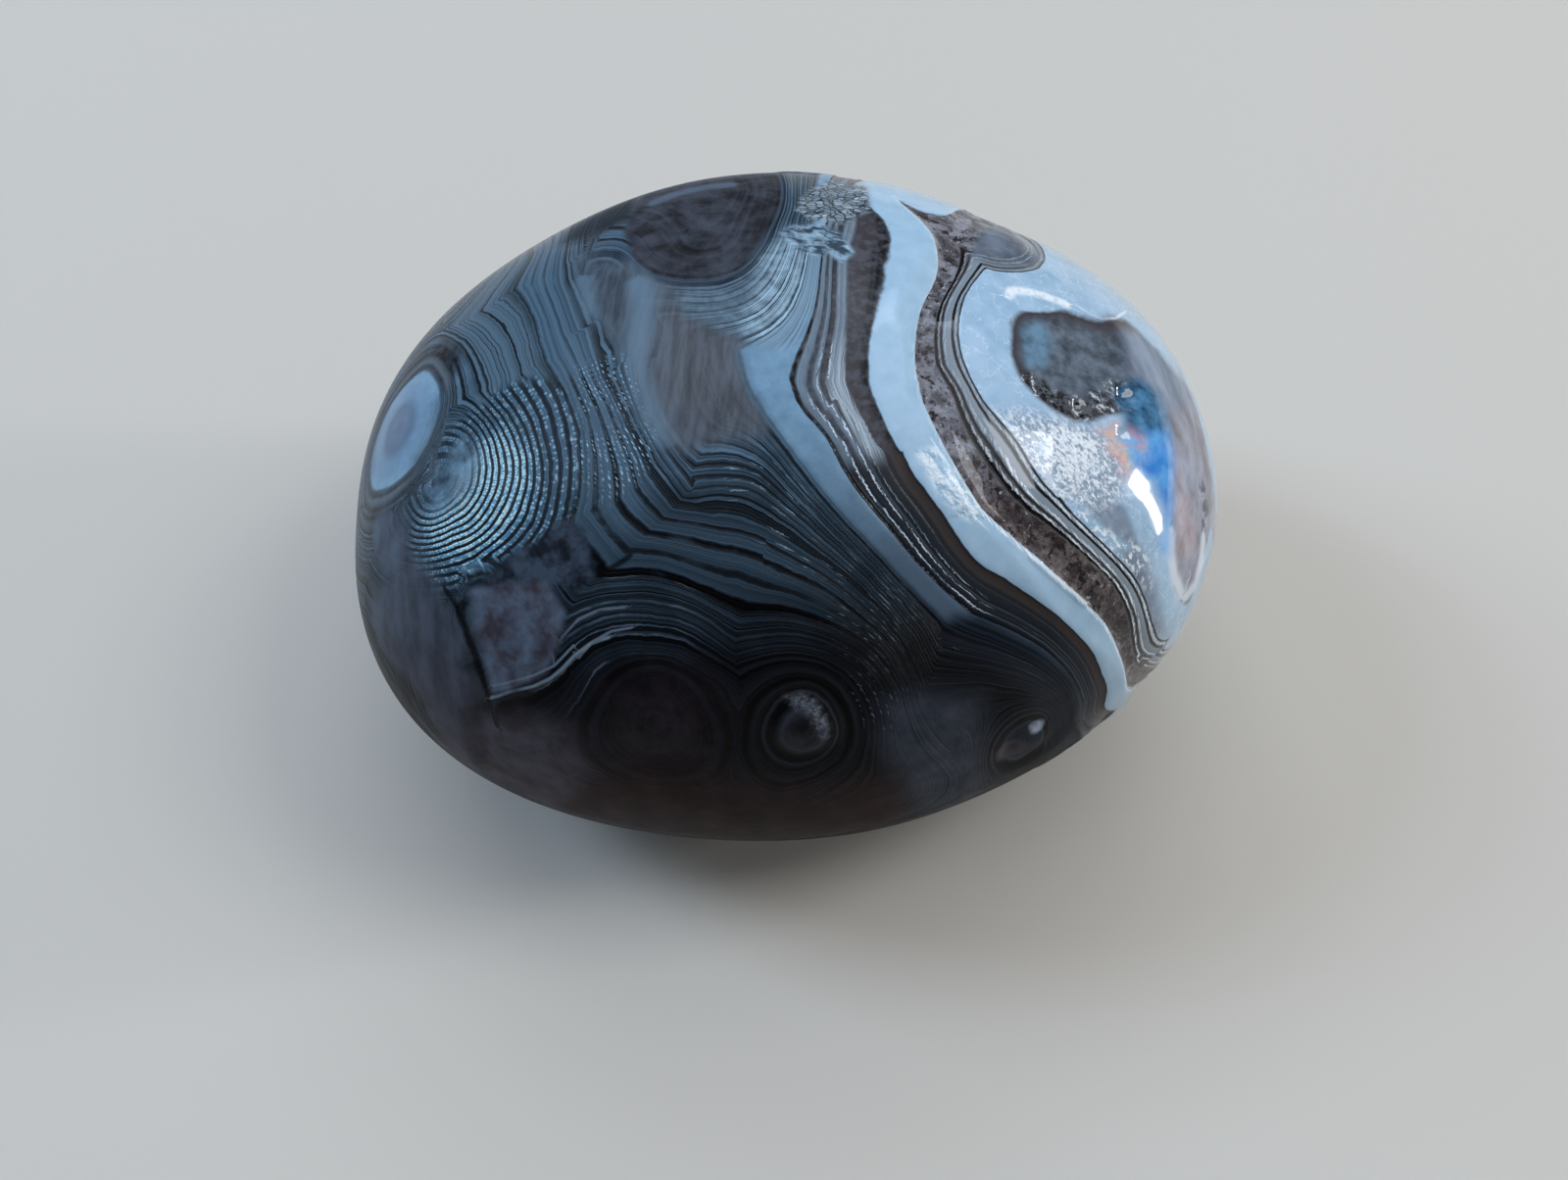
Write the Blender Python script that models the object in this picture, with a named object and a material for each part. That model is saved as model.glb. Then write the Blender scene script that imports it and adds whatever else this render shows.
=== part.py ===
"""A worn eye agate pebble: one solid stone with raised eyes, a shallow quartz hollow and an eroded band.

Metres, +Z up. The long axis is X, the stone rests on a small worn flat at z = 0, and the origin is
the middle of its footprint on that plane.
"""

import bmesh
import bpy
import numpy as np

MM = 0.001

# The stone as a slightly squared ellipsoid
HALF_LENGTH = 23.1 * MM
HALF_WIDTH = 15.9 * MM
HALF_HEIGHT = 13.4 * MM
SQUARENESS = 2.2
CENTRE_HEIGHT = 0.95 * HALF_HEIGHT

# Swells and worn-back places that make the outline: azimuth and elevation in degrees, height in mm
SWELL_SPREAD = np.radians(20)
SWELLS = (
    (-13, 8, -0.4),
    (10, 15, 0.3),
    (36, 23, -0.5),
    (64, 30, 1.0),
    (101, 32, 1.1),
    (156, 17, -0.3),
    (180, 8, -2.0),
    (-136, -7, 0.3),
    (-111, -12, 0.6),
    (-81, -14, 1.2),
    (-57, -9, 0.4),
    (-32, -3, 0.7),
    (75, -20, 0.5),
    (125, -25, -0.4),
    (20, -30, -0.5),
)

# Eyes: azimuth, elevation, dish radius and depth, dome radius and height (degrees and mm)
EYES = {
    "front dome": (-90, 21, 3.7, 0.22, 1.9, 0.50),
    "front faint dome": (-114, 22, 3.4, 0.10, 2.2, 0.16),
    "right button": (-55, 4, 2.5, 0.38, 1.5, 0.42),
    "left white eye": (175, 25, 3.9, 0.22, 3.0, 0.28),
    "upper dark eye": (99, 59, 3.6, 0.18, 2.4, 0.10),
    "back lens": (30, 35, 2.6, 0.10, 2.0, 0.30),
    "back eye": (95, -8, 3.6, 0.25, 2.2, 0.40),
    "back left eye": (140, -12, 3.0, 0.20, 1.8, 0.30),
}

# Shallow hollow over the clear quartz core, and the small vugs along its lower edge
CORE = (-3, 36, 3.4, 0.30)
VUGS = ((-14, 37, 0.7, 0.35), (-8, 30, 0.8, 0.40), (-16, 31, 0.6, 0.25))

# The soft brown band is eroded into a trough: azimuth and elevation along it, in degrees
TROUGH = ((32, 44), (8, 60), (-23, 59), (-41, 43), (-42, 24), (-37, 7), (-34, -8))
TROUGH_HALF_WIDTH = 1.3 * MM
TROUGH_DEPTH = 0.28 * MM

# A broken ledge on the left: the left side of this line stands higher, and a crack runs along it
LEDGE = ((-152, 31), (-144, 25), (-140, 17), (-139, 6))
LEDGE_HEIGHT = 0.28 * MM
LEDGE_REACH = 4.5 * MM
LEDGE_SLOPE = 0.5 * MM
CRACK_DEPTH = 0.16 * MM
CRACK_HALF_WIDTH = 0.8 * MM

# The sphere that the stone is shaped from, how far past each form its faces stay fine, and the
# radius in mm below which a spot gets the finest faces
SPHERE_SUBDIVISIONS = 5
DETAIL_MARGIN = 0.5 * MM
SMALL_FORM = 2.0


def direction(azimuth, elevation):
    """Unit vector from the stone's centre, for an azimuth from +X and an elevation in degrees."""
    a, e = np.radians(azimuth), np.radians(elevation)
    return np.array([np.cos(a) * np.cos(e), np.sin(a) * np.cos(e), np.sin(e)])


def worn_surface(directions):
    """Points of the smooth worn stone along unit directions from its centre."""
    x, y, z = np.abs(directions).T
    squared = (x / HALF_LENGTH) ** SQUARENESS + (y / HALF_WIDTH) ** SQUARENESS + (z / HALF_HEIGHT) ** SQUARENESS
    radius = squared ** (-1 / SQUARENESS)
    for azimuth, elevation, height in SWELLS:
        nearness = directions @ direction(azimuth, elevation)
        radius += height * MM * np.exp((nearness - 1) / SWELL_SPREAD**2)
    return directions * radius[:, None] + [0, 0, CENTRE_HEIGHT]


def distance_to_spot(points, azimuth, elevation):
    """Distance of each point from the surface point in one direction."""
    spot = worn_surface(direction(azimuth, elevation)[None])[0]
    return np.linalg.norm(points - spot, axis=1)


def surface_path(stops, steps=6):
    """Surface points along the directions in stops."""
    corners = [direction(*stop) for stop in stops]
    run = [a + (b - a) * k / steps for a, b in zip(corners[:-1], corners[1:]) for k in range(steps)]
    run = np.array(run + [corners[-1]])
    return worn_surface(run / np.linalg.norm(run, axis=1)[:, None])


def offset_from_path(points, path):
    """Vector to each point from the nearest place on a path of straight steps."""
    offsets = np.full(points.shape, np.inf)
    for start, end in zip(path[:-1], path[1:]):
        step = end - start
        along = np.clip((points - start) @ step / (step @ step), 0, 1)
        candidate = points - start - along[:, None] * step
        closer = np.linalg.norm(candidate, axis=1) < np.linalg.norm(offsets, axis=1)
        offsets[closer] = candidate[closer]
    return offsets


def bowl(distance, radius):
    """1 at the middle and 0 from the radius outwards, with a smooth rim."""
    return np.clip(1 - (distance / radius) ** 2, 0, 1) ** 1.5


def ledge_relief(points):
    """Raised ground left of the broken ledge, with the crack along its foot."""
    offsets = offset_from_path(points, surface_path(LEDGE))
    distance = np.linalg.norm(offsets, axis=1)
    raised = np.clip(-offsets[:, 0] / LEDGE_SLOPE, 0, 1)
    height = LEDGE_HEIGHT * raised * bowl(distance, LEDGE_REACH)
    return height - CRACK_DEPTH * bowl(distance, CRACK_HALF_WIDTH)


def relief(points):
    """Height of the eyes, hollow, vugs, trough and ledge above the worn surface at its points."""
    height = ledge_relief(points)
    for azimuth, elevation, dish_radius, dish_depth, dome_radius, dome_height in EYES.values():
        distance = distance_to_spot(points, azimuth, elevation)
        height -= dish_depth * MM * bowl(distance, dish_radius * MM)
        height += dome_height * MM * bowl(distance, dome_radius * MM)
    for azimuth, elevation, radius, depth in (CORE, *VUGS):
        distance = distance_to_spot(points, azimuth, elevation)
        height -= depth * MM * bowl(distance, radius * MM)
    trough_distance = np.linalg.norm(offset_from_path(points, surface_path(TROUGH)), axis=1)
    return height - TROUGH_DEPTH * bowl(trough_distance, TROUGH_HALF_WIDTH)


def near_paths(points):
    """Which points are close to the trough or the ledge."""
    near = np.zeros(len(points), bool)
    for path, reach in ((TROUGH, TROUGH_HALF_WIDTH), (LEDGE, CRACK_HALF_WIDTH)):
        distance = np.linalg.norm(offset_from_path(points, surface_path(path)), axis=1)
        near |= distance < reach + DETAIL_MARGIN
    return near


def near_spots(points, spots):
    """Which points are close to any of the spots, each an azimuth, an elevation and a radius in mm."""
    near = np.zeros(len(points), bool)
    for azimuth, elevation, radius in spots:
        near |= distance_to_spot(points, azimuth, elevation) < radius * MM + 2 * DETAIL_MARGIN
    return near


def coordinates(bm):
    return np.array([vertex.co for vertex in bm.verts], float)


def directions_of(bm):
    points = coordinates(bm)
    return points / np.linalg.norm(points, axis=1)[:, None]


def refine(bm, fine):
    """Halves the edges between vertices that are marked as needing it."""
    bm.verts.index_update()
    edges = [edge for edge in bm.edges if all(fine[vertex.index] for vertex in edge.verts)]
    bmesh.ops.subdivide_edges(bm, edges=edges, cuts=1, use_grid_fill=True)
    bmesh.ops.triangulate(bm, faces=bm.faces[:])


def wear_flat(bm):
    """Cuts the underside off at z = 0 and closes it with one flat face."""
    everything = bm.verts[:] + bm.edges[:] + bm.faces[:]
    cut = bmesh.ops.bisect_plane(bm, geom=everything, plane_co=(0, 0, 0), plane_no=(0, 0, 1), clear_inner=True)
    rim = [item for item in cut["geom_cut"] if isinstance(item, bmesh.types.BMEdge)]
    bmesh.ops.contextual_create(bm, geom=rim)
    bmesh.ops.recalc_face_normals(bm, faces=bm.faces[:])


def centre_footprint(bm):
    """Moves the stone so that the middle of its box is over the origin."""
    points = coordinates(bm)
    middle = (points.min(axis=0) + points.max(axis=0)) / 2
    bmesh.ops.translate(bm, verts=bm.verts[:], vec=(-middle[0], -middle[1], 0))


def stone_mesh():
    bm = bmesh.new()
    bmesh.ops.create_icosphere(bm, subdivisions=SPHERE_SUBDIVISIONS, radius=1)
    domes = [(eye[0], eye[1], eye[4]) for eye in EYES.values()]
    vugs = [vug[:3] for vug in VUGS]
    points = worn_surface(directions_of(bm))
    refine(bm, near_paths(points) | near_spots(points, domes + vugs))
    points = worn_surface(directions_of(bm))
    refine(bm, near_spots(points, [spot for spot in domes + vugs if spot[2] < SMALL_FORM]))
    outward = directions_of(bm)
    smooth = worn_surface(outward)
    shaped = smooth + outward * relief(smooth)[:, None]
    for vertex, point in zip(bm.verts, shaped):
        vertex.co = point
    wear_flat(bm)
    centre_footprint(bm)
    mesh = bpy.data.meshes.new("pebble")
    bm.to_mesh(mesh)
    bm.free()
    mesh.shade_smooth()
    mesh.set_sharp_from_angle(angle=np.radians(40))
    return mesh


def agate_material():
    material = bpy.data.materials.new("agate")
    material.use_nodes = True
    shader = material.node_tree.nodes["Principled BSDF"]
    shader.inputs["Base Color"].default_value = (0.075, 0.09, 0.105, 1)
    shader.inputs["Roughness"].default_value = 0.3
    shader.inputs["Metallic"].default_value = 0.0
    return material


def main():
    for item in list(bpy.data.objects):
        bpy.data.objects.remove(item)
    pebble = bpy.data.objects.new("pebble", stone_mesh())
    pebble.data.materials.append(agate_material())
    bpy.context.scene.collection.objects.link(pebble)


main()
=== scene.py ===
"""An eye agate pebble: banded chalcedony with raised eyes, white bands and a clear quartz core.

The banding is one field over the stone, called the layer: it rises from the middle of each eye
to the quartz core, as the stone grew. Lines of equal layer are traced along the bands.
"""

from functools import partial

import bpy
import numpy as np
from mathutils import Matrix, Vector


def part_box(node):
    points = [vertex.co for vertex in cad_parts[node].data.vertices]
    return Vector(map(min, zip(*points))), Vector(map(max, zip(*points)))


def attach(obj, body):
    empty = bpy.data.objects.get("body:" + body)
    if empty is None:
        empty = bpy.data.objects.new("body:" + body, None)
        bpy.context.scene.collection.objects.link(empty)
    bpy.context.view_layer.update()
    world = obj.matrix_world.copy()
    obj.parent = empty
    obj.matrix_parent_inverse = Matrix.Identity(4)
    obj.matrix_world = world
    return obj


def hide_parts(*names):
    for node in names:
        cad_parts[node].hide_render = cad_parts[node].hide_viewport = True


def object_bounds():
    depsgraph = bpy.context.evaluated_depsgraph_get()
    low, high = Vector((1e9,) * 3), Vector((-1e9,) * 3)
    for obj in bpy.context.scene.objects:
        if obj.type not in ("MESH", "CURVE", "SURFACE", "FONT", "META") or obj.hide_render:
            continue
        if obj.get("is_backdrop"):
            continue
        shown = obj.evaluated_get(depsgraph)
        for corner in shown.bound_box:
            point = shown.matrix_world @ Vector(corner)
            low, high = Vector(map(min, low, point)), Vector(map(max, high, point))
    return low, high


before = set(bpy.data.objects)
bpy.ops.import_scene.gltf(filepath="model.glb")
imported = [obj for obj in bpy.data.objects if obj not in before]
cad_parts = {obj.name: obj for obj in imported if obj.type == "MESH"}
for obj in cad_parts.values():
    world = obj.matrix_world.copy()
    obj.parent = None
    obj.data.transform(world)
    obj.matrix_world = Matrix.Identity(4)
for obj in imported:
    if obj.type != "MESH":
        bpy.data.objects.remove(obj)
cad_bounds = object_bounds()

MM = 0.001

# The worn stone without its bands
HALF_LENGTH = 23.1 * MM
HALF_WIDTH = 15.9 * MM
HALF_HEIGHT = 13.4 * MM
SQUARENESS = 2.2
CENTRE_HEIGHT = 0.95 * HALF_HEIGHT
SWELL_SPREAD = np.radians(20)
SWELLS = (
    (-13, 8, -0.4), (10, 15, 0.3), (36, 23, -0.5), (64, 30, 1.0), (101, 32, 1.1), (156, 17, -0.3),
    (180, 8, -2.0), (-136, -7, 0.3), (-111, -12, 0.6), (-81, -14, 1.2), (-57, -9, 0.4), (-32, -3, 0.7),
    (75, -20, 0.5), (125, -25, -0.4), (20, -30, -0.5))

# Eyes: azimuth, elevation, dish radius and depth, dome radius and height (degrees and mm)
EYES = {
    "front dome": (-90, 21, 3.7, 0.22, 1.9, 0.50),
    "front faint dome": (-114, 22, 3.4, 0.10, 2.2, 0.16),
    "right button": (-55, 4, 2.5, 0.38, 1.5, 0.42),
    "left white eye": (175, 25, 3.9, 0.22, 3.0, 0.28),
    "upper dark eye": (99, 59, 3.6, 0.18, 2.4, 0.10),
    "back lens": (30, 35, 2.6, 0.10, 2.0, 0.30),
    "back eye": (95, -8, 3.6, 0.25, 2.2, 0.40),
    "back left eye": (140, -12, 3.0, 0.20, 1.8, 0.30),
}
CORE_HOLLOW = (-3, 36, 3.4, 0.30)
VUGS = ((-14, 37, 0.7, 0.35), (-8, 30, 0.8, 0.40), (-16, 31, 0.6, 0.25))
TROUGH = ((32, 44), (8, 60), (-23, 59), (-41, 43), (-42, 24), (-37, 7), (-34, -8))
TROUGH_HALF_WIDTH = 1.3 * MM
TROUGH_DEPTH = 0.28 * MM
LEDGE = ((-152, 31), (-144, 25), (-140, 17), (-139, 6))
LEDGE_HEIGHT = 0.28 * MM
LEDGE_REACH = 4.5 * MM
LEDGE_SLOPE = 0.5 * MM
CRACK_DEPTH = 0.16 * MM
CRACK_HALF_WIDTH = 0.8 * MM

# Camera: the photo's height, place and viewing angle. Its place is given from the stone's own axis,
# which lies a little beside the middle of its box
CAMERA_PLACE = np.array([-3.8, -38.0, 74.1]) * MM
CAMERA_AZIMUTH = -7.05
CAMERA_ELEVATION = 61.7
FRAME_WIDTH = 1600
FRAME_HEIGHT = 1204
FOCAL_PIXELS = 1400
SENSOR_WIDTH = 36.0

# Mesh: faces along a side of the cube that the sphere is made from, how much finer the seen side is,
# and the faces that do for measuring the box
CUBE_STEPS = 128
CROWDING = 0.45
MEASURING_STEPS = 48


def direction(azimuth, elevation):
    """Unit vector from the stone's centre, for an azimuth from +X and an elevation in degrees."""
    a, e = np.radians(azimuth), np.radians(elevation)
    return np.array([np.cos(a) * np.cos(e), np.sin(a) * np.cos(e), np.sin(e)])


def unit(vectors):
    return vectors / np.linalg.norm(vectors, axis=-1, keepdims=True)


def worn_radius(directions):
    """Distance of the smooth worn surface from the stone's centre along unit directions."""
    shares = np.abs(directions) / (HALF_LENGTH, HALF_WIDTH, HALF_HEIGHT)
    radius = (shares**SQUARENESS).sum(axis=1) ** (-1 / SQUARENESS)
    for azimuth, elevation, height in SWELLS:
        nearness = directions @ direction(azimuth, elevation)
        radius += height * MM * np.exp((nearness - 1) / SWELL_SPREAD**2)
    return radius


def worn_surface(directions):
    return directions * worn_radius(directions)[:, None] + [0, 0, CENTRE_HEIGHT]


def spot_place(azimuth, elevation):
    return worn_surface(direction(azimuth, elevation)[None])[0]


def distance_to(points, place):
    return np.linalg.norm(points - place, axis=1)


def surface_path(stops, steps=6):
    corners = [direction(*stop) for stop in stops]
    run = [a + (b - a) * k / steps for a, b in zip(corners[:-1], corners[1:]) for k in range(steps)]
    return worn_surface(unit(np.array(run + [corners[-1]])))


def nearest_on_path(points, path):
    """Vector to each point from the nearest place on a path, and how far along the path that place is."""
    offsets = np.full(points.shape, np.inf)
    along = np.zeros(len(points))
    passed = 0.0
    for start, end in zip(path[:-1], path[1:]):
        step = end - start
        share = np.clip((points - start) @ step / (step @ step), 0, 1)
        candidate = points - start - share[:, None] * step
        closer = np.linalg.norm(candidate, axis=1) < np.linalg.norm(offsets, axis=1)
        offsets[closer] = candidate[closer]
        along[closer] = passed + share[closer] * np.linalg.norm(step)
        passed += np.linalg.norm(step)
    return offsets, along


def bowl(distance, radius):
    """1 at the middle and 0 from the radius outwards, with a smooth rim."""
    return np.clip(1 - (distance / radius) ** 2, 0, 1) ** 1.5


def coarse_relief(points):
    """The eyes, hollow, vugs, trough and ledge of the solid."""
    offsets, _ = nearest_on_path(points, surface_path(LEDGE))
    ledge_distance = np.linalg.norm(offsets, axis=1)
    height = LEDGE_HEIGHT * np.clip(-offsets[:, 0] / LEDGE_SLOPE, 0, 1) * bowl(ledge_distance, LEDGE_REACH)
    height -= CRACK_DEPTH * bowl(ledge_distance, CRACK_HALF_WIDTH)
    for azimuth, elevation, dish_radius, dish_depth, dome_radius, dome_height in EYES.values():
        distance = distance_to(points, spot_place(azimuth, elevation))
        height -= dish_depth * MM * bowl(distance, dish_radius * MM)
        height += dome_height * MM * bowl(distance, dome_radius * MM)
    for azimuth, elevation, radius, depth in (CORE_HOLLOW, *VUGS):
        height -= depth * MM * bowl(distance_to(points, spot_place(azimuth, elevation)), radius * MM)
    offsets, _ = nearest_on_path(points, surface_path(TROUGH))
    return height - TROUGH_DEPTH * bowl(np.linalg.norm(offsets, axis=1), TROUGH_HALF_WIDTH)


def camera_axes():
    """The camera's right, down and viewing directions."""
    a, e = np.radians(CAMERA_AZIMUTH), np.radians(CAMERA_ELEVATION)
    right = np.array([np.cos(a), np.sin(a), 0])
    ahead = np.array([-np.sin(a) * np.cos(e), np.cos(a) * np.cos(e), -np.sin(e)])
    return right, np.cross(ahead, right), ahead


def trace(*numbers):
    """Pixels as rows, from their x and y in turn."""
    return np.reshape(numbers, (-1, 2)).astype(float)


class PhotoView:
    """Finds the places on the stone that pixels of the photo show."""

    NEAR = 45 * MM
    FAR = 100 * MM
    STEPS = 551

    def places(self, line):
        """The places that a line's pixels show; its x and y may be in pairs or just in turn."""
        right, down, ahead = camera_axes()
        pixels = trace(*line)
        across = pixels[:, :1] - FRAME_WIDTH / 2
        downward = pixels[:, 1:] - FRAME_HEIGHT / 2
        rays = unit(FOCAL_PIXELS * ahead + across * right + downward * down)
        steps = np.linspace(self.NEAR, self.FAR, self.STEPS)
        reached = CAMERA_PLACE - [0, 0, CENTRE_HEIGHT] + steps[None, :, None] * rays[:, None]
        flat = reached.reshape(-1, 3)
        gap = (np.linalg.norm(flat, axis=1) - worn_radius(unit(flat))).reshape(len(pixels), -1)
        hit = (gap < 0).any(axis=1)
        first = np.where(hit, (gap < 0).argmax(axis=1), gap.argmin(axis=1))
        rows = np.arange(len(pixels))
        before = np.maximum(first - 1, 0)
        fall = gap[rows, before] - gap[rows, first]
        share = np.where(hit & (fall > 0), gap[rows, before] / np.where(fall == 0, 1, fall), 1)
        share = np.clip(share, 0, 1)[:, None]
        points = reached[rows, before] * (1 - share) + reached[rows, first] * share
        return worn_surface(unit(points))

    def pixels(self, points):
        """The pixels that show the points, and how far each point's surface faces the camera."""
        right, down, ahead = camera_axes()
        sight = points - CAMERA_PLACE
        depth = sight @ ahead
        across = FRAME_WIDTH / 2 + FOCAL_PIXELS * (sight @ right) / depth
        downward = FRAME_HEIGHT / 2 + FOCAL_PIXELS * (sight @ down) / depth
        outward = (points - [0, 0, CENTRE_HEIGHT]) / np.array([HALF_LENGTH, HALF_WIDTH, HALF_HEIGHT]) ** 2
        facing = -(unit(outward) * unit(sight)).sum(axis=1)
        return np.stack([across, downward], axis=1), facing


# Traced lines of equal layer, as pixels of the photo
PALE_BAND_LEFT = trace(757, 360, 760, 378, 768, 398, 782, 422, 798, 447, 815, 470, 835, 495, 852, 517,
    870, 538, 890, 560, 912, 583, 932, 603, 950, 620, 962, 632)
PALE_BAND_LEFT_TOP = trace(757, 358, 770, 350, 785, 341, 800, 328, 812, 312, 820, 295, 825, 275, 828, 255,
    830, 235, 832, 205, 834, 185)
PALE_BAND_RIGHT = trace(806, 385, 810, 405, 822, 424, 840, 442, 850, 460, 862, 483, 880, 508, 900, 532,
    920, 556, 945, 585, 965, 605, 982, 618, 993, 630)
PALE_BAND_RIGHT_TOP = trace(806, 385, 808, 372, 814, 357, 821, 343, 828, 325, 832, 305, 834, 280, 836, 260,
    840, 235, 845, 205, 848, 186)
WHITE_LEFT_TOP = trace(886, 390, 885, 372, 887, 350, 890, 325, 896, 300, 901, 280, 905, 260, 907, 243,
    902, 227, 890, 214, 876, 203, 868, 190)
WHITE_LEFT = trace(886, 390, 893, 412, 905, 437, 917, 460, 930, 483, 945, 503, 960, 523, 975, 546, 990, 567,
    1000, 577)
WHITE_RIGHT_TOP = trace(937, 372, 937, 345, 941, 325, 947, 305, 955, 290, 959, 275, 958, 258, 953, 243,
    943, 230, 928, 216, 918, 207)
WHITE_RIGHT = trace(937, 372, 941, 398, 948, 420, 957, 441, 968, 462, 980, 482, 992, 502, 1004, 518,
    1020, 534, 1040, 551, 1060, 567, 1078, 583, 1096, 600, 1114, 618)
DARK_LINE_TOP = trace(966, 372, 962, 350, 961, 330, 965, 312, 972, 297, 982, 284)
DARK_LINE = trace(966, 372, 975, 387, 985, 405, 992, 425, 1000, 440, 1012, 458, 1022, 475, 1035, 492,
    1045, 505, 1058, 517, 1075, 530, 1095, 548, 1112, 563, 1130, 580, 1142, 595, 1150, 610, 1158, 630,
    1165, 655)
INNER_WHITE_LEFT_TOP = trace(979, 352, 978, 335, 980, 315, 985, 300, 992, 288, 1002, 278)
INNER_WHITE_LEFT = trace(979, 352, 983, 372, 990, 390, 1001, 407, 1014, 422, 1030, 440, 1045, 462, 1058, 484,
    1075, 505)
INNER_WHITE_LOW = trace(1095, 527, 1115, 547, 1135, 566, 1150, 582, 1164, 602, 1172, 625, 1180, 650)
CORE_TOP = trace(1032, 355, 1033, 335, 1040, 319, 1058, 312, 1080, 315, 1100, 322, 1125, 329, 1150, 327,
    1165, 340, 1180, 355, 1195, 375, 1205, 395)
CORE_LOW = trace(1035, 375, 1045, 393, 1060, 408, 1080, 424, 1100, 432, 1118, 430, 1140, 424, 1165, 420,
    1185, 430)
CORE_RIGHT = trace(1194, 460, 1195, 500, 1192, 540, 1193, 575, 1199, 600, 1210, 618)
CORE_EDGE = trace(1190, 352, 1206, 380, 1219, 415, 1229, 450, 1237, 495, 1240, 540, 1236, 575, 1226, 604)
WHITE_GLEAM = trace(1145, 455, 1165, 480, 1165, 520, 1168, 560, 1185, 615)

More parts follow.
